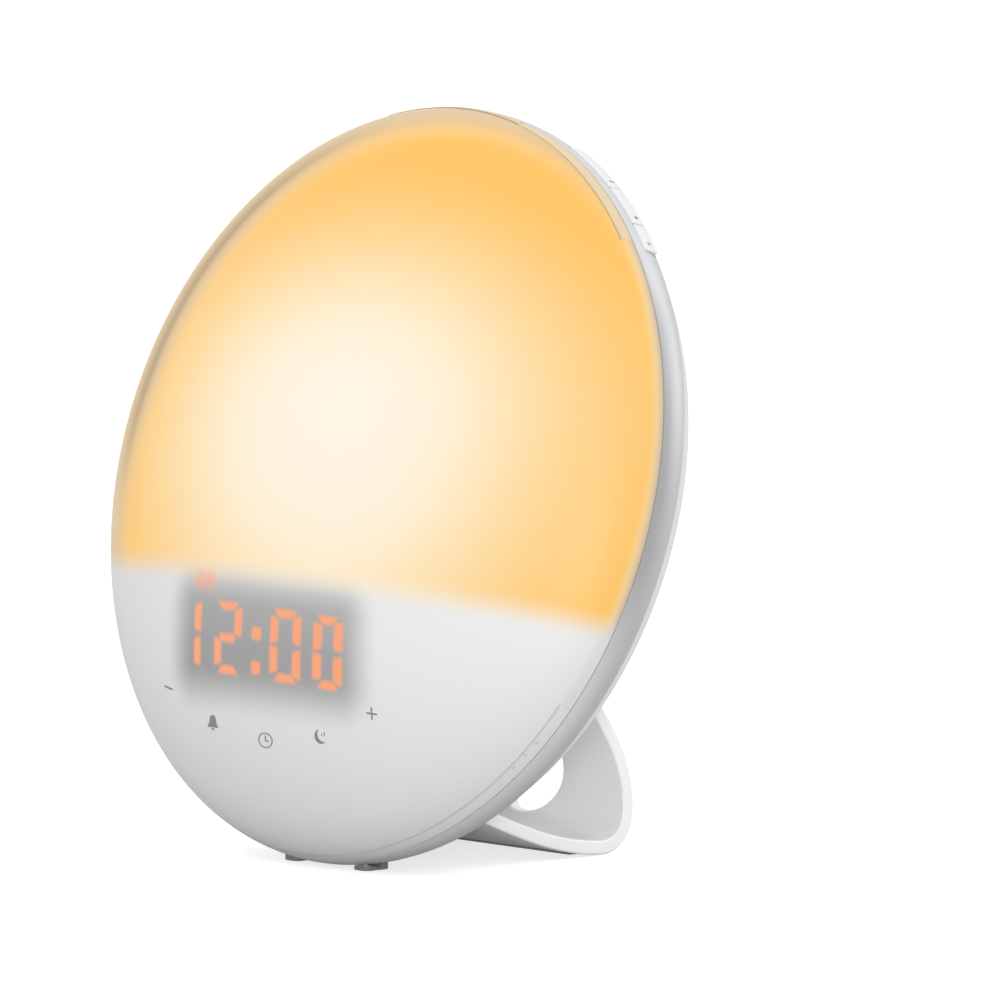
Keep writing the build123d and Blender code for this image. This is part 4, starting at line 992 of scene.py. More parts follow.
def build_front_lens(m):
    """Milky shell with its skirt and the two recesses for the trims."""
    seam = m.trim_front + SEAT_GAP / 2
    dome_end = math.asin((seam + 0.45) / m.lens_bulge)
    dome = ellipse(m.disc_radius, m.lens_bulge, math.pi / 2, dome_end, DOME_STEPS)
    plain = [(m.lens_radius(z), z) for z in (4.9, 4.2, 3.4, 2.6, 2.15, 1.95)]
    plain += [(m.disc_radius - 0.25, m.lens_edge), (m.skirt_outer + 1.2, m.lens_edge)]
    rim = m.lens_radius(seam)
    recessed = [
        (m.lens_radius(seam + 0.2), seam + 0.2), (m.lens_radius(seam + 0.1) - 0.02, seam + 0.1),
        (rim - 0.07, seam + 0.03), (rim - 0.2, seam), (m.trim_floor + 0.1, seam), (m.trim_floor, seam - 0.1),
        (m.trim_floor, 3.0), (m.trim_floor, m.lens_edge + 0.1),
    ]
    inner_radius, inner_bulge = m.disc_radius - m.lens_wall, m.lens_bulge - m.lens_wall
    top = inner_bulge * math.sqrt(1 - (m.skirt_inner / inner_radius) ** 2)
    inside = [
        (m.skirt_outer, m.lens_edge - 0.05),
        (m.skirt_outer, SKIRT_END + 0.1), (m.skirt_outer - 0.1, SKIRT_END),
        (m.skirt_inner + 0.1, SKIRT_END), (m.skirt_inner, SKIRT_END + 0.1), (m.skirt_inner, top - 0.3),
    ]
    inside += ellipse(inner_radius, inner_bulge, math.asin(top / inner_bulge), math.pi / 2, INSIDE_STEPS)
    columns = []
    marks = sorted([*UPPER_TRIM, *(mark + FULL_TURN for mark in LOWER_TRIM)])
    for number, (first, last) in enumerate(zip(marks, marks[1:] + [marks[0] + FULL_TURN])):
        edge = plain if number % 2 else recessed
        columns += [(spot, dome + edge + inside) for spot in angles(first, last, ARC_STEP)]
    shell = revolved_object("front_lens_shell", columns, True, False)
    worked(shell, key_opening(m, -5.0, m.lens_edge - 1.0))
    low, high = (-3.5, m.skirt_inner - 6.0, SNOOZE_REAR - KEY_GAP), (3.5, m.disc_radius, m.trim_front - 0.1)
    return worked(shell, box_object("slot", low, high))


def trim_outline(m, top):
    """Cross-section of a trim from the silver band up to a height."""
    inner, low = m.trim_floor + 0.3, m.lens_edge + 0.02
    corners = [(inner, low), (m.lens_radius(low), low), (m.lens_radius(top), top), (inner, top)]
    points = softened(corners, [0, 0.14, 0.2, 0], steps=3)
    bulge = [(m.lens_radius(z), z) for z in np.linspace(low + 0.3, top - 0.3, 4)]
    return points[:5] + bulge + points[5:]


def build_upper_trim(m):
    """Strip over the top with the notch for the snooze key."""
    margin = math.degrees(SEAT_GAP / 2 / m.disc_radius)
    half = SNOOZE_HALF + math.degrees(KEY_GAP / m.disc_radius)
    full, low = trim_outline(m, m.trim_front), trim_outline(m, SNOOZE_REAR - KEY_GAP)
    marks = (UPPER_TRIM[0] + margin, 90 - half, 90 + half, UPPER_TRIM[1] - margin)
    columns = []
    for outline, first, last in zip((full, low, full), marks, marks[1:]):
        columns += [(spot, outline) for spot in angles(first, last, ARC_STEP)]
    return revolved_object("upper_trim_strip", columns)


def build_lower_trim(m):
    """Strip under the disc with three pin holes."""
    margin = math.degrees(SEAT_GAP / 2 / m.disc_radius)
    outline = trim_outline(m, m.trim_front)
    spots = angles(LOWER_TRIM[0] + margin, LOWER_TRIM[1] - margin, ARC_STEP)
    strip = revolved_object("lower_trim_strip", [(spot, outline) for spot in spots])
    outline = [(0, 0.0), (PIN_RADIUS, 0.0), (PIN_RADIUS, 0.8), (PIN_RADIUS + 0.1, 1.2), (0, 1.2)]
    pins = []
    for spot in PIN_HOLES:
        pin = turned_solid("pin", outline, sides=20)
        pin.data.transform(Matrix.Rotation(math.pi / 2, 4, "Y"))
        pin.data.transform(Matrix.Translation(Vector((m.disc_radius - 0.9, 0, m.trim_front - 0.95))))
        pin.data.transform(Matrix.Rotation(math.radians(spot), 4, "Z"))
        pins.append(pin)
    return worked(strip, joined("pins", pins))


def rounded_bar(name, start, end, radius, outline_at, rounding, stem):
    """A bar along the rim with rounded ends, and its stem; outline_at gives its section for an inset."""
    run = math.degrees(1 / radius) * rounding
    columns = []
    for t in quarter(3):
        columns.append((start + run * (1 - math.cos(t)), outline_at(rounding * (1 - math.sin(t)))))
    ending = [(end - (spot - start), outline) for spot, outline in reversed(columns)]
    columns += [(spot, outline_at(0.0)) for spot in angles(start + run, end - run, KEY_STEP)[1:-1]]
    low, high, turn = stem
    bm = bmesh.new()
    revolved(bm, columns + ending)
    block(bm, low, high, 0.25, 2, turn)
    tidy(bm)
    return as_object(name, bm)


def build_snooze_key(m):
    """Long slim key with a rounded edge and the stem that reaches its switch."""
    inner = m.trim_floor + 0.8

    def outline(inset):
        low, high = SNOOZE_REAR + inset, m.trim_front - inset
        crown = [(m.lens_radius(z, SNOOZE_PROUD) - inset, z) for z in (low, high)]
        return softened([(inner, low), *crown, (inner, high)], [0, 0.3, 0.3, 0], steps=4)

    stem = ((-3.0, m.key_stem_end, SNOOZE_REAR), (3.0, m.trim_floor + 1.2, m.trim_front - 0.3), None)
    return rounded_bar("snooze_bar", 90 - SNOOZE_HALF, 90 + SNOOZE_HALF, m.disc_radius, outline, 0.3, stem)


def build_side_key(m, number):
    """One side key: a pale cap with rounded edges, and its stem."""
    margin = math.degrees(KEY_GAP / m.disc_radius) / 2
    start, end = KEY_GAPS[number + 1] + margin, KEY_GAPS[number] - margin
    outer, inner = m.band_mid + KEY_PROUD, m.band_inner + 0.2

    def outline(inset):
        low, high = KEY_REAR + inset, KEY_FRONT - inset
        corners = [(inner, low), (outer - 0.12 - inset, low), (outer - inset, (low + high) / 2),
                   (outer - 0.12 - inset, high), (inner, high)]
        return softened(corners, [0, m.key_round, 2.0, m.key_round, 0], steps=4)

    low, high = (m.key_stem_end, -1.5, KEY_REAR + 0.8), (inner + 0.8, 1.5, KEY_FRONT - 0.8)
    stem = (low, high, (start + end) / 2)
    return rounded_bar(f"side_key_cap_{number + 1}", start, end, m.disc_radius, outline, m.key_round, stem)


def build_silver_band(m):
    """Satin ring round the edge with the slot for the side keys."""
    front, rear = m.lens_edge - SEAT_GAP, -m.band_rear
    slot_low, slot_high = KEY_REAR - KEY_GAP, KEY_FRONT + KEY_GAP
    sweep = arc_through((m.disc_radius - 0.1, front), (m.band_mid, rear / 2), (m.band_back, rear), 40)
    levels = {front, *np.linspace(front - 0.5, slot_high + 0.4, 4), slot_high, *SLOT_LEVELS, slot_low}
    levels = sorted({*levels, rear + 0.25, rear}, reverse=True)
    outline = [(radius_at(sweep, z) or m.band_back, z) for z in levels]
    outline += [(m.band_inner, z) for z in reversed(levels)]
    count = len(outline)
    high, low = levels.index(slot_high), levels.index(slot_low)
    margin = math.degrees(KEY_GAP / m.disc_radius)
    start, end = KEY_GAPS[-1] - margin, KEY_GAPS[0] + margin
    spots = angles(start, end, ARC_STEP) + angles(end, start + FULL_TURN, ARC_STEP)[1:-1]
    opened = round((end - start) / ARC_STEP)
    bm = bmesh.new()
    rows = [[bm.verts.new((*turned(radius, spot), z)) for radius, z in outline] for spot in spots]
    for number, row in enumerate(rows):
        after = rows[(number + 1) % len(rows)]
        in_slot = number < opened
        for spot in range(count):
            step = (spot + 1) % count
            if in_slot and (high <= spot < low or high <= count - 2 - spot < low):
                continue
            bm.faces.new((row[spot], after[spot], after[step], row[step]))
        if in_slot:
            for spot in (high, low):
                bm.faces.new((row[spot], after[spot], after[count - 1 - spot], row[count - 1 - spot]))
    for row in (rows[0], rows[opened]):
        for spot in range(high, low):
            bm.faces.new((row[spot], row[spot + 1], row[count - 2 - spot], row[count - 1 - spot]))
    tidy(bm)
    return as_object("silver_ring", bm)


def cover_outline(m, inset):
    """The rear cover's rim, and its side from there to the edge of its flat back, drawn in by an inset."""
    rim = (m.band_back - 0.2 - inset, -m.band_rear - SEAT_GAP)
    wide, narrow = m.disc_radius - SHOULDER_IN, m.disc_radius - BACK_IN
    shoulder = (wide - 0.85 * inset, SHOULDER_Z + 0.6 * inset)
    back = (narrow - 0.3 * inset, -m.cover_depth + inset)
    middle_z = 0.42 * SHOULDER_Z - 0.58 * m.cover_depth
    middle = (0.55 * wide + 0.45 * narrow - 0.5 * inset, middle_z + 0.87 * inset)
    return rim, arc_through(shoulder, middle, back, 22)


def flared(radius, deep, mouth, flare):
    """Outline of a hole's cutter, from inside at deep out past a flared mouth; z falls outwards."""
    lip = (radius + flare * 0.35, mouth + flare * 0.5)
    return [(0, deep), (radius, deep), (radius, mouth + flare * 1.4), lip, (radius + flare, mouth),
            (radius + flare, mouth - 3), (0, mouth - 3)]


def ended(tree, geometry, finish_material):
    """Ends a geometry tree with plain mesh of one material."""
    real = result(tree, "GeometryNodeRealizeInstances", {"Geometry": geometry})
    inputs = {"Geometry": real, "Material": finish_material}
    put(tree, "NodeGroupOutput", {"Geometry": result(tree, "GeometryNodeSetMaterial", inputs)})
    return tree


def perforate_group():
    """Sound holes: rings of flared holes round a middle, cut out of a shell."""
    inputs = (("Geometry", GEOMETRY, None), ("Middle", VECTOR, (0, 0, 0)), ("Pitch", FLOAT, 4.4),
              ("Hole Radius", FLOAT, 1.1), ("Rings", "NodeSocketInt", 3), ("Depth", FLOAT, 6.0),
              ("Finish", MATERIAL, None))
    tree, g = new_group("Sound Holes", inputs, (("Geometry", GEOMETRY),), "GeometryNodeTree")
    rings, radius = g["Rings"], g["Hole Radius"]
    index = result(tree, "GeometryNodeInputIndex")
    ring = (((index * 12.0 + 9.0).math("SQRT") - 3.0) / 6.0 - 0.001).math("CEIL")
    place = index - ring * 3.0 * (ring - 1.0) - 1.0
    turn = place * (2 * math.pi) / (ring * 6.0)
    reach = ring * g["Pitch"]
    inputs = {"X": reach * turn.math("COSINE"), "Y": reach * turn.math("SINE")}
    inputs = {0: result(tree, "ShaderNodeCombineXYZ", inputs), 1: g["Middle"]}
    spot = result(tree, "ShaderNodeVectorMath", inputs, operation="ADD")
    count = rings * (rings + 1.0) * 3.0 + 1.0
    points = result(tree, "GeometryNodePoints", {"Count": count, "Position": spot})
    lowered = result(tree, "GeometryNodeSetPosition", {"Geometry": points, "Offset": (0, 0, -0.72)})
    inputs = {"Vertices": 24, "Radius": radius, "Depth": g["Depth"]}
    drill = result(tree, "GeometryNodeMeshCylinder", inputs, "Mesh")
    inputs = {"Vertices": 24, "Radius Top": radius, "Radius Bottom": radius + 0.75, "Depth": 1.0}
    mouth = result(tree, "GeometryNodeMeshCone", inputs, "Mesh")
    inputs = {"Mesh 1": g["Geometry"]}
    cut = put(tree, "GeometryNodeMeshBoolean", inputs, operation="DIFFERENCE", solver="EXACT")
    for where, tool in ((points, drill), (lowered, mouth)):
        copies = result(tree, "GeometryNodeInstanceOnPoints", {"Points": where, "Instance": tool})
        fill(tree, cut, {"Mesh 2": result(tree, "GeometryNodeRealizeInstances", {"Geometry": copies})})
    return ended(tree, Level(tree, cut.outputs["Mesh"]), g["Finish"])


def repeat_group():
    """Copies of one piece on marked points, each with its own turn."""
    inputs = (("Geometry", GEOMETRY, None), ("Piece", "NodeSocketObject", None), ("Finish", MATERIAL, None))
    tree, g = new_group("Pieces on Points", inputs, (("Geometry", GEOMETRY),), "GeometryNodeTree")
    points = result(tree, "GeometryNodeMeshToPoints", {"Mesh": g["Geometry"]})
    source = result(tree, "GeometryNodeObjectInfo", {"Object": g["Piece"]}, "Geometry")
    turn = result(tree, "GeometryNodeInputNamedAttribute", {"Name": "turn"}, data_type="FLOAT")
    facing = result(tree, "ShaderNodeCombineXYZ", {"Z": turn})
    inputs = {"Points": points, "Instance": source, "Rotation": facing}
    return ended(tree, result(tree, "GeometryNodeInstanceOnPoints", inputs), g["Finish"])


def grown(piece, tree, **values):
    """Runs a geometry tree on a piece and keeps the plain result."""
    step = piece.modifiers.new(tree.name, "NODES")
    step.node_group = tree
    sockets = {item.name: item.identifier for item in tree.interface.items_tree if item.in_out == "INPUT"}
    for name, value in values.items():
        step[sockets[name.replace("_", " ")]] = value
    piece.update_tag()
    return settle(piece)


def cover_bosses(m):
    """Screw bosses that end inside the cover's wall."""
    back = -m.cover_depth
    _, flank = cover_outline(m, m.cover_wall / 2)
    core = turned_solid("core", [(0, -5.0), (flank[0][0], -5.0), *flank, (0, flank[-1][1])], sides=200)
    outline = [(0, -12.0), (3.4, -12.0), (3.6, -12.2), (3.6, back), (0, back)]
    bosses = []
    for spot in CASE_SCREWS:
        bosses.append(turned_solid("boss", outline, (*turned(m.case_screw_circle, spot), 0), 40))
    return worked(joined("bosses", bosses), core, operation="INTERSECT")


def cover_tools(m):
    """Cutters for the screws, the inlet, the battery and the side keys."""
    back = -m.cover_depth
    tools = []
    for spot in CASE_SCREWS:
        where = (*turned(m.case_screw_circle, spot), 0)
        tools.append(turned_solid("well", rod(WELL_RADIUS, CASE_SCREW_SEAT, back - 2), where, 40))
        tools.append(turned_solid("thread", rod(THREAD_RADIUS, -11.0, CASE_SCREW_SEAT - 0.5), where, 24))
    for x, y in STAND_SCREWS:
        tools.append(turned_solid("thread", rod(THREAD_RADIUS, back + 6, back - 2), (x, y, 0), 24))
    tools.append(turned_solid("inlet", flared(3.6, back + 4, back, 0.3), (*JACK, 0), 40))
    x, y = DOOR
    half = DOOR_SIDE / 2 + KEY_GAP
    opening = softened(rectangle(x - half, y - half, x + half, y + half), [1.0] * 4, steps=5)
    tools.append(plate("opening", opening, back - 3, back + 1.6, 0.0, 1))
    half = DOOR_SIDE / 2 - 1.2
    tools.append(box_object("well", (x - half, y - half, back - 3), (x + half, y + half, back + 4)))
    return [*tools, key_opening(m, -m.band_rear - SEAT_GAP, 0.0)]


def build_rear_cover(m):
    """White back shell: lip, screw bosses and wells, openings and the rings of sound holes."""
    back, top = -m.cover_depth, -m.band_rear - SEAT_GAP
    rim, flank = cover_outline(m, 0)
    inner_rim, inner_flank = cover_outline(m, m.cover_wall)
    outer = softened([rim, *flank, (20.0, back)], [0.3, 1.5, *[0] * 21, 6.0, 0], steps=5)
    profile = [
        (0, back), (24.0, back), *reversed(outer[:-1]), (m.skirt_outer, top), (m.skirt_outer, LIP_TOP),
        (m.skirt_inner, LIP_TOP), (m.skirt_inner, LIP_FOOT), (inner_rim[0] - 0.4, LIP_FOOT - 0.2),
        *inner_flank, (0, back + m.cover_wall),
    ]
    columns = [(spot, profile) for spot in angles(0, FULL_TURN, 1.8)[:-1]]
    shell = revolved_object("rear_cover_shell", columns, True, False)
    worked(shell, cover_bosses(m), operation="UNION")
    worked(shell, *cover_tools(m))
    grown(
        shell, perforate_group(), Middle=(*SPEAKER, back + 0.2), Pitch=m.grille_pitch,
        Hole_Radius=m.grille_hole, Rings=GRILLE_RINGS, Depth=GRILLE_DEPTH, Finish=material("Cover white"),
    )
    bm = bmesh.new()
    bm.from_mesh(shell.data)
    tidy(bm, 2e-3)
    bm.to_mesh(shell.data)
    bm.free()
    return shell


def build_battery_door(m):
    """Cover plate with three finger grooves, and the rib and tab behind it."""
    x, y = DOOR
    back, half = -m.cover_depth, DOOR_SIDE / 2
    outline = softened(rectangle(x - half, y - half, x + half, y + half), [0.9] * 4, steps=5)
    door = plate("battery_lid", outline, back, back + 1.5, 0.22)
    grooves = []
    for step in range(3):
        middle = y + half - 5 - 2.2 * step
        low, high = (x - 5.2, middle - 0.55, back - 0.45), (x + 5.2, middle + 0.55, back + 0.5)
        grooves.append(box_object("groove", low, high, 0.42, 4))
    worked(door, joined("grooves", grooves))
    rib = ring_solid("rib", [(7.0, back + 1.2), (7.0, -22.9), (5.8, -22.9), (5.8, back + 1.2)], 9.0)
    rib.data.transform(Matrix.Translation(Vector((x, y, 0))))
    inner = half - 1.5
    low, high = (x - inner, y - inner, back + 1.2), (x + inner, y - inner + 1.0, back + 1.9)
    return joined("battery_lid", [door, rib, box_object("tab", low, high, 0.15, 2)])


def build_power_inlet(m):
    """Barrel of the inlet with a rounded mouth, and its centre pin."""
    back = -m.cover_depth
    front = back + m.cover_wall
    body = [(2.9, back + 0.25), (3.1, back), (3.35, back), (3.5, back + 0.15), (3.5, front), (4.6, front),
            (4.6, front + 11.7), (4.3, front + 12), (2.9, front + 12)]
    base = turned_solid("base", rod(3.0, front + 9.8, front + 11.9), sides=36)
    barrel = joined("barrel", [ring_solid("tube", body, 7.5), base])
    barrel.data.transform(Matrix.Translation(Vector((*JACK, 0))))
    outline = [(0, back + 1.0), (0.7, back + 1.0), (1.0, back + 1.4), (1.0, front + 10), (0, front + 10)]
    return barrel, turned_solid("power_pin", outline, (*JACK, 0), 24)


def build_cell(m):
    """Back-up cell with its rolled edge."""
    top = -m.cover_depth + m.cover_wall + 3.2 + 3.2 - 1.9
    corners = [(0.0, top - 3.2), (10.0, top - 3.2), (10.0, top - 0.5), (8.9, top - 0.5), (8.6, top),
               (0.0, top)]
    outline = softened(corners, [0, 0.35, 0.4, 0.15, 0.25, 0], steps=4)
    return turned_solid("backup_cell", outline, (*DOOR, 0), 72)


# ---------------------------------------------------------------- screws
HEAD_HEIGHT, SHANK_RADIUS = 1.6, 1.4
CASE_SCREW_REACH, STAND_SCREW_REACH = 12.0, 7.0


def screw_template(head_radius, reach):
    """A pan head screw standing on z = 0 with its head towards -z and a cross in it."""
    head = HEAD_HEIGHT
    corners = [
        (0.0, -head), (head_radius * 0.86, -head), (head_radius, -head * 0.55), (head_radius, 0.0),
        (SHANK_RADIUS, 0.0), (SHANK_RADIUS, reach - 0.6), (0.0, reach),
    ]
    body = turned_solid("screw_body", softened(corners, [0, 0.5, 0.4, 0.1, 0.1, 0, 0], steps=3), sides=40)
    long, thin = head_radius * 0.66, head_radius * 0.15
    rows = []
    for z, scale in ((-head - 0.3, 1.05), (-head * 0.35, 0.55)):
        wide, high = long * scale, thin * (0.7 + 0.3 * scale)
        rows.append([(x, y, z) for x, y in rectangle(-wide, -high, wide, high)])
    for turn in (0, 90):
        bm = bmesh.new()
        skin(bm, rows)
        matrix = Matrix.Rotation(math.radians(turn), 3, "Z")
        bmesh.ops.rotate(bm, verts=bm.verts, cent=(0, 0, 0), matrix=matrix)
        tidy(bm)
        worked(body, as_object("bar", bm))
    return body


def build_screws(m, name, spots, reach):
    """Screws of one length on their spots (x, y, z, turn in degrees)."""
    template = screw_template(m.screw_head, reach)
    mesh = bpy.data.meshes.new(name)
    mesh.from_pydata([spot[:3] for spot in spots], [], [])
    turns = mesh.attributes.new("turn", "FLOAT", "POINT")
    turns.data.foreach_set("value", [math.radians(spot[3]) for spot in spots])
    holder = bpy.data.objects.new(name, mesh)
    bpy.context.scene.collection.objects.link(holder)
    tree = bpy.data.node_groups.get("Pieces on Points") or repeat_group()
    grown(holder, tree, Piece=template, Finish=material("Screw steel"))
    drop(template)
    return holder


# ---------------------------------------------------------------- stand
class StandLine:
    """The loop's outer side as a smooth line, with its inward direction."""

    def __init__(self):
        points = np.array(STAND_PATH)
        knots = np.concatenate(([0], np.cumsum(np.linalg.norm(np.diff(points, axis=0), axis=1))))
        count = len(points)
        system = np.zeros((count, count))
        right = np.zeros((count, 2))
        system[0, 0] = system[-1, -1] = 1
        for spot in range(1, count - 1):
            before, after = knots[spot] - knots[spot - 1], knots[spot + 1] - knots[spot]
            system[spot, spot - 1 : spot + 2] = before, 2 * (before + after), after
            rise, previous = points[spot + 1] - points[spot], points[spot] - points[spot - 1]
            right[spot] = 6 * (rise / after - previous / before)
        self.knots, self.points, self.bends = knots, points, np.linalg.solve(system, right)
        self.length = knots[-1]

    def at(self, along):
        """Point and direction at a length along the line; past the ends it goes straight on."""
        inside = min(max(along, 0), self.length)
        spot = min(max(int(np.searchsorted(self.knots, inside)) - 1, 0), len(self.knots) - 2)
        step = self.knots[spot + 1] - self.knots[spot]
        b = (inside - self.knots[spot]) / step
        a = 1 - b
        first, second = self.points[spot], self.points[spot + 1]
        bend, after = self.bends[spot], self.bends[spot + 1]
        point = a * first + b * second + ((a**3 - a) * bend + (b**3 - b) * after) * step**2 / 6
        slope = (second - first) / step + ((1 - 3 * a * a) * bend + (3 * b * b - 1) * after) * step / 6
        slope = slope / np.linalg.norm(slope)
        return point + slope * (along - inside), slope

    def place(self, x, along, depth):
        """A point of the ribbon: across, along the line, and in from its outer side."""
        point, slope = self.at(along)
        return (x, point[0] + slope[1] * depth, point[1] - slope[0] * depth)


def first_where(test, low, high):
    """The place between low and high where a test turns true."""
    for _ in range(34):
        middle = (low + high) / 2
        if test(middle):
            high = middle
        else:
            low = middle
    return high


# The ribbon's grid: columns across, rows along, and the rows between which it isn't fitted to the cover.
RIBBON_COLUMNS, RIBBON_ROWS = 29, 110
FITTED_UNTIL, FITTED_FROM = 12, 84
# The patch of the grid that the hole takes: its columns, and the heights between which its rows lie.
PATCH_COLUMNS = (6, 24)
PATCH_TOP, PATCH_BOTTOM = 42.5, 4.2
# The D-shaped hole: middle and radius of its round side, its straight side, and a place inside it.
HOLE_X, HOLE_UP, HOLE_RADIUS, HOLE_SIDE = -4.5, 22.4, 15.75, -8.6
HOLE_MIDDLE = (1.3, HOLE_UP)
HOLE_CORNER, HOLE_LIP = 2.0, 0.55
FLANGE_TOP, FLANGE_BOTTOM, FLANGE_DEPTH = -12.04, -31.04, 3.0


def ribbon_section(m):
    """The ribbon's cross-section (x, depth) with rounded sides, and its places across."""
    half, wall, rounding = m.stand_width / 2, m.stand_wall, m.stand_round
    across = list(np.linspace(-half + rounding, half - rounding, RIBBON_COLUMNS))
    flat, turns = half - rounding, quarter(4)[1:-1]
    right = [(flat + rounding * math.sin(t), rounding * (1 - math.cos(t))) for t in turns]
    right += [(half, rounding), (half, wall - rounding)]
    right += [(flat + rounding * math.cos(t), wall - rounding + rounding * math.sin(t)) for t in turns]
    left = [(-x, wall - depth) for x, depth in right]
    return [(x, 0.0) for x in across] + right + [(x, wall) for x in reversed(across)] + left, across


def ribbon_ends(m, line, section):
    """Where each point of the section starts behind the flange and ends inside the rear cover."""
    to_disc = m.lay_back().inverted() @ m.on_table()
    rim, flank = cover_outline(m, -SEAT_GAP)
    side = [rim, *flank]

    def in_disc(x, along, depth):
        spot = to_disc @ Vector(line.place(x, along, depth))
        return spot.z > rim[1] or math.hypot(spot.x, spot.y) < (radius_at(side, spot.z) or 0)

    def behind(x, along, depth):
        return (to_disc @ Vector(line.place(x, along, depth))).z < -m.cover_depth - 1.6

    starts = [first_where(lambda s: behind(x, s, depth), -6, 40) for x, depth in section]
    ends = [first_where(lambda s: in_disc(x, s, depth), line.length * 0.72, line.length + 6)
            for x, depth in section]
    return starts, ends


def hole_outline():
    """The D-shaped hole's outline with its two corners rounded."""
    rise = math.sqrt(HOLE_RADIUS**2 - (HOLE_SIDE - HOLE_X) ** 2)
    swing = math.atan2(rise, HOLE_SIDE - HOLE_X)
    curve = [(HOLE_X + HOLE_RADIUS * math.cos(t), HOLE_UP + HOLE_RADIUS * math.sin(t))
             for t in np.linspace(-swing, swing, 61)]
    curve = [curve[0], *curve[4:-4], curve[-1]]
    return softened(curve, [HOLE_CORNER, *[0] * (len(curve) - 2), HOLE_CORNER], steps=6)


def on_outline(outline, middle, direction, grow):
    """Where a ray from the middle meets an outline, moved out by grow."""
    best = None
    for a, b in zip(outline, outline[1:] + outline[:1]):
        a, b = Vector(a), Vector(b)
        edge = b - a
        cross = direction.x * edge.y - direction.y * edge.x
        if abs(cross) < 1e-9:
            continue
        reach = ((a.x - middle.x) * edge.y - (a.y - middle.y) * edge.x) / cross
        share = ((a.x - middle.x) * direction.y - (a.y - middle.y) * direction.x) / cross
        if reach > 0 and -1e-6 <= share <= 1 + 1e-6 and (best is None or reach > best[0]):
            normal = Vector((edge.y, -edge.x)).normalized()
            best = (reach, normal if normal.dot(direction) >= 0 else -normal)
    return middle + direction * best[0] + best[1] * grow


def bridge(bm, first, second):
    """Faces between two closed loops of vertices."""
    total = len(first)
    for spot in range(total):
        after = (spot + 1) % total
        bm.faces.new((first[spot], second[spot], second[after], first[after]))


def build_ribbon(m):
    """Ribbon loop with rounded edges and a D-shaped hole."""
    line = StandLine()
    section, across = ribbon_section(m)
    count, wall = len(section), m.stand_wall
    rest = [line.length * row / RIBBON_ROWS for row in range(RIBBON_ROWS + 1)]
    ends = list(zip(*ribbon_ends(m, line, section)))

    def along(row, start, end):
        """Length along the line of a row's point; the ribbon's two ends are stretched to fit the cover."""
        if row < FITTED_UNTIL:
            return start + (rest[FITTED_UNTIL] - start) * row / FITTED_UNTIL
        if row > FITTED_FROM:
            fixed = rest[FITTED_FROM]
            return fixed + (end - fixed) * (row - FITTED_FROM) / (RIBBON_ROWS - FITTED_FROM)
        return rest[row]

    bm = bmesh.new()
    grid = [[bm.verts.new(line.place(x, along(row, *fit), depth)) for (x, depth), fit in zip(section, ends)]
            for row in range(RIBBON_ROWS + 1)]
    heights = [line.at(spot)[0][1] for spot in rest]
    first_col, last_col = PATCH_COLUMNS
    first_row = min(row for row in range(RIBBON_ROWS) if heights[row] < PATCH_TOP)
    last_row = max(row for row in range(RIBBON_ROWS)
                   if heights[row] > PATCH_BOTTOM and rest[row] < line.length * 0.6)

    def inner(col):
        """The column of the ribbon's inner side that lies behind a column of its outer side."""
        return count // 2 + RIBBON_COLUMNS - 1 - col

    cut = {*range(first_col, last_col), *(inner(col + 1) for col in range(first_col, last_col))}
    for row in range(RIBBON_ROWS):
        for spot in range(count):
            if first_row <= row < last_row and spot in cut:
                continue
            after = (spot + 1) % count
            bm.faces.new((grid[row][spot], grid[row + 1][spot], grid[row + 1][after], grid[row][after]))
    bm.faces.new(grid[0])
    bm.faces.new(reversed(grid[-1]))

    # rays from the hole's middle to the points round the patch carry the hole's edge
    border = [(first_row, col) for col in range(first_col, last_col)]
    border += [(row, last_col) for row in range(first_row, last_row)]
    border += [(last_row, col) for col in range(last_col, first_col, -1)]
    border += [(row, first_col) for row in range(last_row, first_row, -1)]
    middle = Vector(HOLE_MIDDLE)
    directions = []
    for row, col in border:
        spot = line.place(across[col], rest[row], wall / 2)
        directions.append((Vector((spot[0], spot[2])) - middle).normalized())
    levels = [(HOLE_LIP * (1 - math.sin(t)), HOLE_LIP * (1 - math.cos(t))) for t in quarter(4)]
    levels += [(grow, wall - depth) for grow, depth in reversed(levels)]
    outline = hole_outline()
    loops = []
    for grow, depth in levels:
        spots = [on_outline(outline, middle, direction, grow) for direction in directions]
        reach = line.length * 0.62
        loops.append([(x, first_where(lambda s: line.place(0, s, depth)[2] < up, 0, reach), depth)
                      for x, up in spots])
    edges = [[bm.verts.new(line.place(*spot)) for spot in loop] for loop in loops]
    for first, second in zip(edges, edges[1:]):
        bridge(bm, first, second)

    # rings of faces fill the patch between the hole's edge and the grid, outside and inside
    for side, depth, column in ((0, 0.0, lambda col: col), (-1, wall, inner)):
        previous = edges[side]
        for share in (0.12, 0.3, 0.52, 0.76):
            ring = []
            for (x, s, _), (row, col) in zip(loops[side], border):
                spot = (x + (across[col] - x) * share, s + (rest[row] - s) * share, depth)
                ring.append(bm.verts.new(line.place(*spot)))
            bridge(bm, previous, ring)
            previous = ring
        bridge(bm, previous, [grid[row][column(col)] for row, col in border])
    tidy(bm, 1e-3)
    ribbon = as_object("loop_ribbon", bm)
    ribbon.data.transform(m.on_table())
    return ribbon


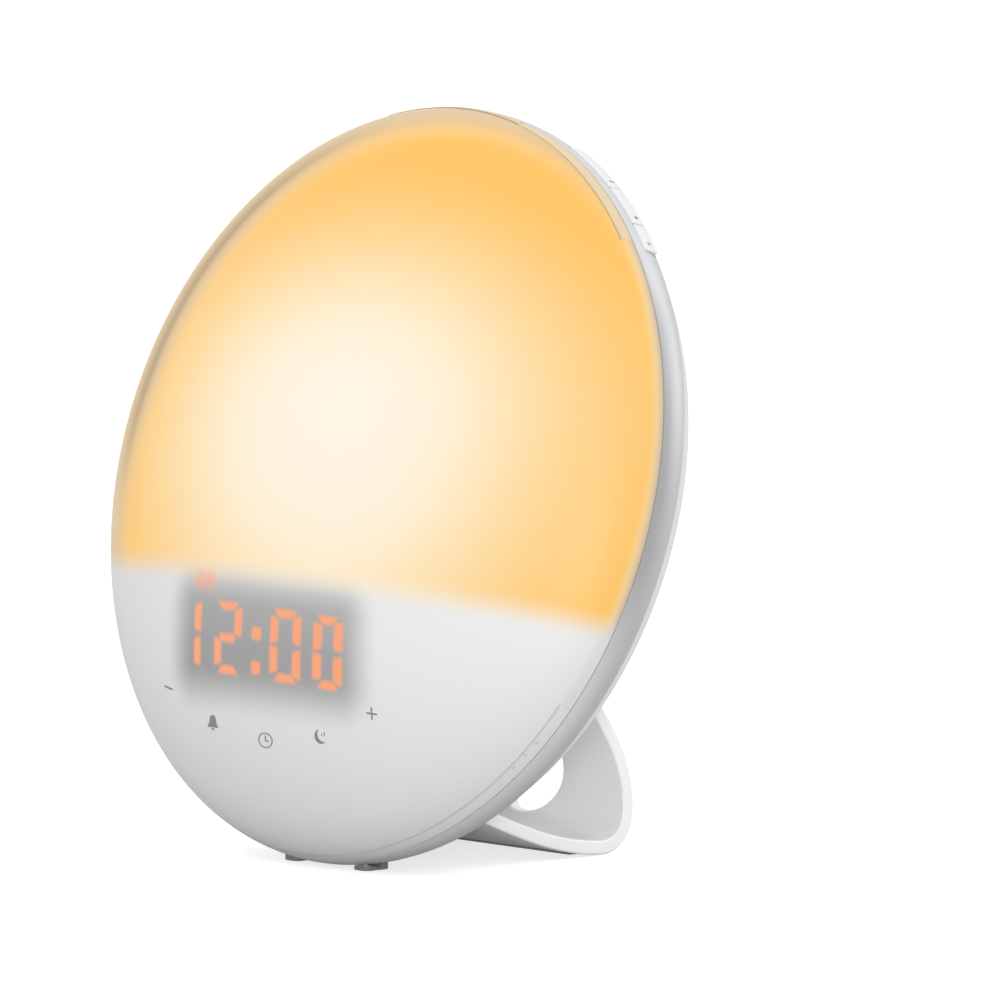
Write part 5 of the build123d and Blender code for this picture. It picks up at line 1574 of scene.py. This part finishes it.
def build_flange(m):
    """Plate that holds the ribbon to the rear cover, with wells for its two screws."""
    back = -m.cover_depth - SEAT_GAP
    side = m.stand_width / 2 + 0.04
    outline = softened(rectangle(-side, FLANGE_BOTTOM, side, FLANGE_TOP), [0.6, 0.6, 6.0, 6.0], steps=8)
    flange = plate("flange", outline, back - FLANGE_DEPTH, back, 0.6)
    well = flared(2.8, back - 1.2, back - FLANGE_DEPTH, 0.35)
    worked(flange, joined("wells", [turned_solid("well", well, (x, y, 0), 40) for x, y in STAND_SCREWS]))
    flange.data.transform(m.lay_back())
    return flange


def build_loop_stand(m):
    """The ribbon loop and the flange that holds it to the cover."""
    return joined("loop_stand_shell", [build_ribbon(m), build_flange(m)])


# ---------------------------------------------------------------- printed marks
PRINT_UP, PRINT_DOWN = 0.05, 0.12


def is_pair(shape):
    """Whether a shape is a pair of outlines."""
    return isinstance(shape[0][0], (tuple, list))


def printed(m, name, shapes):
    """Flat shapes in x and y, each an outline or a pair of outlines, as thin print that follows the lens."""
    bm = bmesh.new()

    def sheet(outline, lift):
        return [bm.verts.new((x, y, m.lens_height(x, y) + lift)) for x, y in outline]

    for shape in shapes:
        paired = is_pair(shape)
        loops = shape if paired else [shape]
        tops = [sheet(loop, PRINT_UP) for loop in loops]
        bottoms = [sheet(loop, -PRINT_DOWN) for loop in loops]
        count = len(loops[0])
        pointed = paired and math.dist(shape[0][0], shape[1][0]) < 1e-6
        pairs = [(spot, (spot + 1) % count) for spot in range(count - pointed)]
        for top, bottom in zip(tops, bottoms):
            for spot, after in pairs:
                bm.faces.new((top[spot], top[after], bottom[after], bottom[spot]))
        for layer in (tops, bottoms):
            if paired:
                for spot, after in pairs:
                    bm.faces.new((layer[0][spot], layer[0][after], layer[1][after], layer[1][spot]))
            else:
                bmesh.ops.triangulate(bm, faces=[bm.faces.new(layer[0])])
    tidy(bm)
    return as_object(name, bm)


def stroke(start, end, width):
    """A straight line with round ends as an outline."""
    start, end = Vector(start), Vector(end)
    along = (end - start).normalized()
    side = Vector((-along.y, along.x)) * width / 2
    points = []
    for centre, first in ((start, math.atan2(side.y, side.x)), (end, math.atan2(-side.y, -side.x))):
        for step in range(7):
            turn = first + math.pi * step / 6
            points.append((centre.x + width / 2 * math.cos(turn), centre.y + width / 2 * math.sin(turn)))
    return points


def circle(x, y, radius, sides=40):
    """A circle as an outline."""
    return [(x + radius * math.cos(2 * math.pi * k / sides), y + radius * math.sin(2 * math.pi * k / sides))
            for k in range(sides)]


def bell(x, y, size):
    """A bell's outline with its clapper."""
    half = [(0.14, 1.02), (0.36, 0.94)]
    for share in np.linspace(0.04, 1, 14):
        half.append((0.42 + 0.28 * share**0.5 + 0.28 * share**5, 0.84 - 1.32 * share))
    half.append((1.0, -0.66))
    outline = half + [(-a, b) for a, b in reversed(half)]
    clapper = [(0.3 * math.cos(t), -0.78 + 0.26 * math.sin(t)) for t in np.linspace(math.pi, 2 * math.pi, 9)]
    return [[(x + a * size, y + b * size) for a, b in part] for part in (outline, clapper)]


def moon(x, y, radius):
    """A crescent, open to the upper right, as its outer and inner arcs from tip to tip."""
    outer = [(math.cos(t), math.sin(t)) for t in np.radians(np.linspace(105, 323, 25))]
    inner = arc_through(outer[0], (-0.3, -0.3), outer[-1], 24)
    inner[0], inner[-1] = outer[0], outer[-1]
    return [[(x + a * radius, y + b * radius) for a, b in arc] for arc in (outer, inner)]


def stretched(shapes, middle, wide, tall, lean):
    """Outlines made wider and taller about a middle, and leaned over to the right."""
    def moved(outline):
        offsets = [(x - middle[0], y - middle[1]) for x, y in outline]
        return [(middle[0] + x * wide + y * lean, middle[1] + y * tall) for x, y in offsets]

    return [[moved(loop) for loop in shape] if is_pair(shape) else moved(shape) for shape in shapes]


def build_touch_marks(m):
    """Minus, bell, clock, moon and plus, printed on the lens."""
    width = m.mark_stroke
    bell_at, clock, moon_at, plus = (-18.1, -61.45), (0.8, -63.9), (18.6, -61.45), (33.75, -54.9)

    def line(middle, start, end, share):
        spots = [(middle[0] + x, middle[1] + y) for x, y in (start, end)]
        return stroke(*spots, width * share)

    dial = [
        [circle(*clock, 2.15), circle(*clock, 2.15 - width * 0.75)],
        line(clock, (0, 1.25), (0, -0.1), 0.8), line(clock, (0.02, -0.12), (1.0, -0.12), 0.8),
    ]
    night = [
        moon(*moon_at, 1.75),
        line(moon_at, (0.4, 0.2), (0.4, 0.65), 0.55), line(moon_at, (1.15, 0.4), (1.15, 1.05), 0.75),
    ]
    return printed(m, "touch_marks", [
        stroke((-38.0, -54.5), (-34.6, -55.1), width * 1.1),
        *stretched(bell(*bell_at, 1.95), bell_at, 1.08, 0.8, 0.12),
        *stretched(dial, clock, 1.14, 0.78, 0.12),
        *stretched(night, moon_at, 1.0, 0.9, 0.08),
        line(plus, (-1.25, 0), (1.25, 0), 1), line(plus, (0, 1.2), (0, -1.2), 1),
    ])


def key_marks():
    """A bar, a square and a triangle, one on each side key, as (angle, outline of (along the rim, z))."""
    bar = stroke((0.0, -3.7), (0.0, -2.5), 0.42)
    triangle = [(-0.5, -3.0), (0.4, -3.55), (0.4, -2.45)]
    return ((56.8, bar), (48.4, rectangle(-0.45, -3.55, 0.45, -2.65)), (43.0, triangle))


def build_key_mark(m, number):
    """One plain mark on a side key's face."""
    degrees, outline = key_marks()[number]
    face = m.band_mid + KEY_PROUD
    rows = []
    for radius in (face + 0.03, face - 0.2):
        rows.append([(*turned(radius, degrees + math.degrees(along / face)), z) for along, z in outline])
    bm = bmesh.new()
    skin(bm, rows)
    tidy(bm)
    return as_object(f"side_key_mark_{number + 1}", bm)


def build_feet():
    """The two rubber feet from the CAD's faces, with its short steps merged."""
    bm = bmesh.new()
    bm.from_mesh(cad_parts["front_feet"].data)
    bmesh.ops.scale(bm, vec=(1 / MM,) * 3, verts=bm.verts)
    bmesh.ops.remove_doubles(bm, verts=bm.verts, dist=1e-3)
    bmesh.ops.dissolve_limit(bm, angle_limit=math.radians(1), verts=bm.verts, edges=bm.edges)
    return as_object("rubber_feet", bm)


# ---------------------------------------------------------------- stage
SKY = (0.0, 1.5)
SKY_MIRRORED = (0.38, 0.62)
SHOWN = ("Is Camera Ray", "Is Transmission Ray")
WHITE = (1.0, 1.0, 1.0, 1.0)
FLOOR_TONE, FLOOR_LIGHT, FLOOR_SHINE = 0.52, 0.72, 0.2
FLOOR_REACH = 14.0
LAMPS = (
    ("Front lamp", (1.3, -1.3, 0.18), 0.36, 13.4),
    ("Left lamp", (-1.3, -1.3, 0.8), 1.0, 2.2),
    ("Back lamp", (0.6, 1.4, 0.6), 1.0, 4.5),
)
CAMERA_AWAY = 2200.0
CAMERA_ROUND = 48.08
CAMERA_UP = 5.22
CAMERA_LENS = 348.6
AIM = (24.0, -3.61)


def sight(tree, *rays):
    """1 for any of these kinds of ray."""
    path = results(tree, put(tree, "ShaderNodeLightPath"))
    total = path[rays[0]]
    for ray in rays[1:]:
        total = total.math("MAXIMUM", path[ray])
    return total


def build_sky(scene):
    """Plain soft light from above, white behind the clock, and a duller room in its reflections."""
    world = bpy.data.worlds.new("Studio")
    world.use_nodes = True
    scene.world = world
    tree = world.node_tree
    tree.nodes.clear()
    where = result(tree, "ShaderNodeTexCoord", output="Generated")
    level = result(tree, "ShaderNodeSeparateXYZ", {0: where}, 2).spread(-0.2, 0.8, *SKY)
    mirror = level * SKY_MIRRORED[1] + SKY_MIRRORED[0]
    pick = result(tree, "ShaderNodeMix", {0: sight(tree, "Is Glossy Ray"), 2: level, 3: mirror})
    soft = result(tree, "ShaderNodeBackground", {"Color": WHITE, "Strength": pick})
    white = result(tree, "ShaderNodeBackground", {"Color": WHITE, "Strength": 1.0})
    mix = result(tree, "ShaderNodeMixShader", {0: sight(tree, *SHOWN), 1: soft, 2: white})
    put(tree, "ShaderNodeOutputWorld", {"Surface": mix})


def build_floor():
    """Pale floor that looks lit to the camera and in reflections, and keeps the shadow."""
    bm = bmesh.new()
    bmesh.ops.create_grid(bm, x_segments=2, y_segments=2, size=FLOOR_REACH)
    floor = as_object("floor", bm)
    paint, tree, shader = new_material("Floor white")
    tree.nodes.remove(shader)
    ground = result(tree, "ShaderNodeTexNoise", {"Scale": 3.0})
    tone = blended(tree, ground, (FLOOR_TONE * 0.97,) * 3, (FLOOR_TONE * 1.03,) * 3)
    plain = result(tree, "ShaderNodeBsdfDiffuse", {"Color": tone})
    mirrored = sight(tree, "Is Glossy Ray")
    strength = mirrored * (FLOOR_SHINE - FLOOR_LIGHT) + FLOOR_LIGHT
    shine = result(tree, "ShaderNodeEmission", {"Color": WHITE, "Strength": strength})
    lifted = result(tree, "ShaderNodeAddShader", {0: plain, 1: shine})
    seen = sight(tree, *SHOWN).math("MAXIMUM", mirrored)
    mix = result(tree, "ShaderNodeMixShader", {0: seen, 1: plain, 2: lifted})
    fill(tree, tree.nodes["Material Output"], {"Surface": mix})
    floor.data.materials.append(paint)


def build_lamps(scene, centre):
    """Square lamps that face the clock."""
    for name, place, size, power in LAMPS:
        light = bpy.data.lights.new(name, "AREA")
        light.shape = "SQUARE"
        light.size = size
        light.energy = power
        lamp = bpy.data.objects.new(name, light)
        lamp.location = place
        lamp.rotation_euler = (centre - Vector(place)).to_track_quat("-Z", "Y").to_euler()
        scene.collection.objects.link(lamp)


def build_camera(scene, centre):
    """A long lens at the right front, a little above the clock's middle."""
    turn, rise = math.radians(CAMERA_ROUND), math.radians(CAMERA_UP)
    away = Vector((math.sin(turn) * math.cos(rise), -math.cos(turn) * math.cos(rise), math.sin(rise)))
    side = Vector((math.cos(turn), math.sin(turn), 0))
    place = centre + away * CAMERA_AWAY * MM
    target = centre + (side * AIM[0] + away.cross(side) * AIM[1]) * MM
    camera = bpy.data.cameras.new("Camera")
    camera.lens = CAMERA_LENS
    camera.sensor_width = 36.0
    camera.clip_start = 0.05
    camera.clip_end = 60.0
    holder = bpy.data.objects.new("Camera", camera)
    holder.location = place
    holder.rotation_euler = (target - place).to_track_quat("-Z", "Y").to_euler()
    scene.collection.objects.link(holder)
    scene.camera = holder


def build_stage(m):
    """Sky, floor, lamps and camera."""
    scene = bpy.context.scene
    scene.view_settings.view_transform = "Standard"
    centre = Vector((0, m.centre_y, m.centre_z)) * MM
    build_sky(scene)
    build_floor()
    build_lamps(scene, centre)
    build_camera(scene, centre)


# ---------------------------------------------------------------- inner pieces keep their CAD shape
INNER_FINISHES = {
    "inner_frame": "Frame white", "led_board": "White board", "led_chips": "Phosphor",
    "reflector_tray": "Reflector white", "light_divider": "Reflector white",
    "display_housing": "Black plastic", "display_board": "Green board", "display_module": "Display resin",
    "display_segments": "Segment resin", "touch_board": "Green board", "touch_springs": "Spring steel",
    "key_switches": "Black plastic", "key_board": "Green board", "snooze_board": "Green board",
    "snooze_switch": "Black plastic", "main_board": "Green board", "board_chips": "Chip black",
    "capacitors": "Can aluminium", "clock_crystal": "Crystal can", "board_sockets": "Socket nylon",
    "flat_cable": "Cable white", "speaker_frame": "Basket paint", "speaker_cone": "Cone paper",
    "speaker_magnet": "Ferrite", "speaker_gasket": "Foam", "battery_tray": "Black plastic",
    "battery_contacts": "Spring steel", "board_screws": "Screw steel", "speaker_screws": "Screw steel",
}


# ---------------------------------------------------------------- operators
class CLOCK_OT_stage(bpy.types.Operator):
    """Make the floor, the light and the camera"""

    bl_idname = "clock.stage"
    bl_label = "Stage"

    def execute(self, context):
        build_stage(measures())
        return {"FINISHED"}


class CLOCK_OT_front_lens(bpy.types.Operator):
    """Make the milky lens with its light and its figures"""

    bl_idname = "clock.front_lens"
    bl_label = "Front lens"

    def execute(self, context):
        finish(build_front_lens(measures()), "Milky lens", "clock", "milky_lens", "front_lens")
        return {"FINISHED"}


class CLOCK_OT_touch_marks(bpy.types.Operator):
    """Print the five touch marks on the lens"""

    bl_idname = "clock.touch_marks"
    bl_label = "Touch marks"

    def execute(self, context):
        finish(build_touch_marks(measures()), "Touch print", "clock", None)
        return {"FINISHED"}


class CLOCK_OT_edge_trims(bpy.types.Operator):
    """Make the beige trim over the top and the grey trim under the disc"""

    bl_idname = "clock.edge_trims"
    bl_label = "Edge trims"

    def execute(self, context):
        finish(build_upper_trim(measures()), "Warm trim", "clock", "warm_trim", "upper_trim")
        finish(build_lower_trim(measures()), "Grey trim", "clock", "grey_trim", "lower_trim")
        return {"FINISHED"}


class CLOCK_OT_snooze_key(bpy.types.Operator):
    """Make the long key over the top"""

    bl_idname = "clock.snooze_key"
    bl_label = "Snooze key"

    def execute(self, context):
        finish(build_snooze_key(measures()), "Warm trim", "snooze", "warm_trim", "snooze_key")
        return {"FINISHED"}


class CLOCK_OT_silver_band(bpy.types.Operator):
    """Make the satin silver ring"""

    bl_idname = "clock.silver_band"
    bl_label = "Silver band"

    def execute(self, context):
        finish(build_silver_band(measures()), "Satin silver", "clock", "silver", "silver_band", bevel=0.12)
        return {"FINISHED"}


class CLOCK_OT_side_keys(bpy.types.Operator):
    """Make the three side keys"""

    bl_idname = "clock.side_keys"
    bl_label = "Side keys"

    def execute(self, context):
        m = measures()
        for number, body in enumerate(("side_key_top", "side_key_middle", "side_key_bottom")):
            finish(build_side_key(m, number), "Key white", body, "key_white", f"side_key_{number + 1}")
            finish(build_key_mark(m, number), "Touch print", body, None)
        return {"FINISHED"}


class CLOCK_OT_rear_cover(bpy.types.Operator):
    """Make the white rear cover with its openings"""

    bl_idname = "clock.rear_cover"
    bl_label = "Rear cover"

    def execute(self, context):
        finish(build_rear_cover(measures()), "Cover white", "clock", "white_case", "rear_cover")
        return {"FINISHED"}


class CLOCK_OT_battery(bpy.types.Operator):
    """Make the battery cover and the back-up cell"""

    bl_idname = "clock.battery"
    bl_label = "Battery cover and cell"

    def execute(self, context):
        finish(build_battery_door(measures()), "Cover white", "battery_cover", "white_case", "battery_door")
        finish(build_cell(measures()), "Cell steel", "clock", "cell_steel", "coin_cell")
        return {"FINISHED"}


class CLOCK_OT_power_inlet(bpy.types.Operator):
    """Make the power inlet"""

    bl_idname = "clock.power_inlet"
    bl_label = "Power inlet"

    def execute(self, context):
        barrel, pin = build_power_inlet(measures())
        finish(barrel, "Black plastic", "clock", "jack_black", "dc_jack")
        finish(pin, "Spring steel", "clock", "spring_steel")
        return {"FINISHED"}


class CLOCK_OT_loop_stand(bpy.types.Operator):
    """Make the loop stand"""

    bl_idname = "clock.loop_stand"
    bl_label = "Loop stand"

    def execute(self, context):
        stand = build_loop_stand(measures())
        finish(stand, "Stand white", "clock", "stand_white", "loop_stand", place=Matrix.Identity(4))
        return {"FINISHED"}


class CLOCK_OT_rubber(bpy.types.Operator):
    """Make the two front feet and the pad under the stand"""

    bl_idname = "clock.rubber"
    bl_label = "Feet and pad"

    def execute(self, context):
        place = Matrix.Scale(MM, 4)
        low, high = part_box("stand_pad")
        pad = box_object("stand_strip", low / MM, high / MM, 0.25, 3)
        finish(pad, "Pad rubber", "clock", "foot_rubber", "stand_pad", place=place)
        finish(build_feet(), "Rubber", "clock", "foot_rubber", "front_feet", place=place, bevel=0.3)
        return {"FINISHED"}


class CLOCK_OT_screws(bpy.types.Operator):
    """Make the case screws and the stand screws"""

    bl_idname = "clock.screws"
    bl_label = "Screws"

    def execute(self, context):
        m = measures()
        spots = [(*turned(m.case_screw_circle, spot), CASE_SCREW_SEAT, spot * 1.7) for spot in CASE_SCREWS]
        case = build_screws(m, "case_screw_set", spots, CASE_SCREW_REACH)
        spots = [(x, y, -m.cover_depth - STAND_SCREW_SINK, 20 + x) for x, y in STAND_SCREWS]
        stand = build_screws(m, "stand_screw_set", spots, STAND_SCREW_REACH)
        finish(case, "Screw steel", "clock", "screw_steel", "case_screws")
        finish(stand, "Screw steel", "clock", "screw_steel", "stand_screws")
        return {"FINISHED"}


class CLOCK_OT_inner_parts(bpy.types.Operator):
    """Give every inner piece its finish"""

    bl_idname = "clock.inner_parts"
    bl_label = "Inner parts"

    def execute(self, context):
        for node, name in INNER_FINISHES.items():
            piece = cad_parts[node]
            for place in piece.material_slots:
                place.material = material(name)
        return {"FINISHED"}


STEPS = (
    CLOCK_OT_stage, CLOCK_OT_front_lens, CLOCK_OT_touch_marks, CLOCK_OT_edge_trims, CLOCK_OT_snooze_key,
    CLOCK_OT_silver_band, CLOCK_OT_side_keys, CLOCK_OT_rear_cover, CLOCK_OT_battery, CLOCK_OT_power_inlet,
    CLOCK_OT_loop_stand, CLOCK_OT_rubber, CLOCK_OT_screws, CLOCK_OT_inner_parts,
)


class CLOCK_PT_parts(bpy.types.Panel):
    """Lists the clock's steps, sizes and colours"""

    bl_idname = "CLOCK_PT_parts"
    bl_label = "Sunrise alarm clock"
    bl_space_type = "VIEW_3D"
    bl_region_type = "UI"
    bl_category = "Clock"

    def draw(self, context):
        for step in STEPS:
            self.layout.operator(step.bl_idname)
        for values in (context.scene.clock_sizes, context.scene.clock_finishes):
            for name in values.__annotations__:
                self.layout.prop(values, name)


CLASSES = (ClockSizes, ClockFinishes, *STEPS, CLOCK_PT_parts)


def register():
    """Registers the classes and puts the settings on the scene."""
    for item in CLASSES:
        bpy.utils.register_class(item)
    bpy.types.Scene.clock_sizes = PointerProperty(type=ClockSizes)
    bpy.types.Scene.clock_finishes = PointerProperty(type=ClockFinishes)


def unregister():
    """Takes the settings and the classes away again."""
    del bpy.types.Scene.clock_finishes
    del bpy.types.Scene.clock_sizes
    for item in reversed(CLASSES):
        bpy.utils.unregister_class(item)


def main():
    """Builds the clock step by step."""
    register()
    for step in STEPS:
        family, name = step.bl_idname.split(".")
        getattr(getattr(bpy.ops, family), name)()


if __name__ == "__main__":
    main()
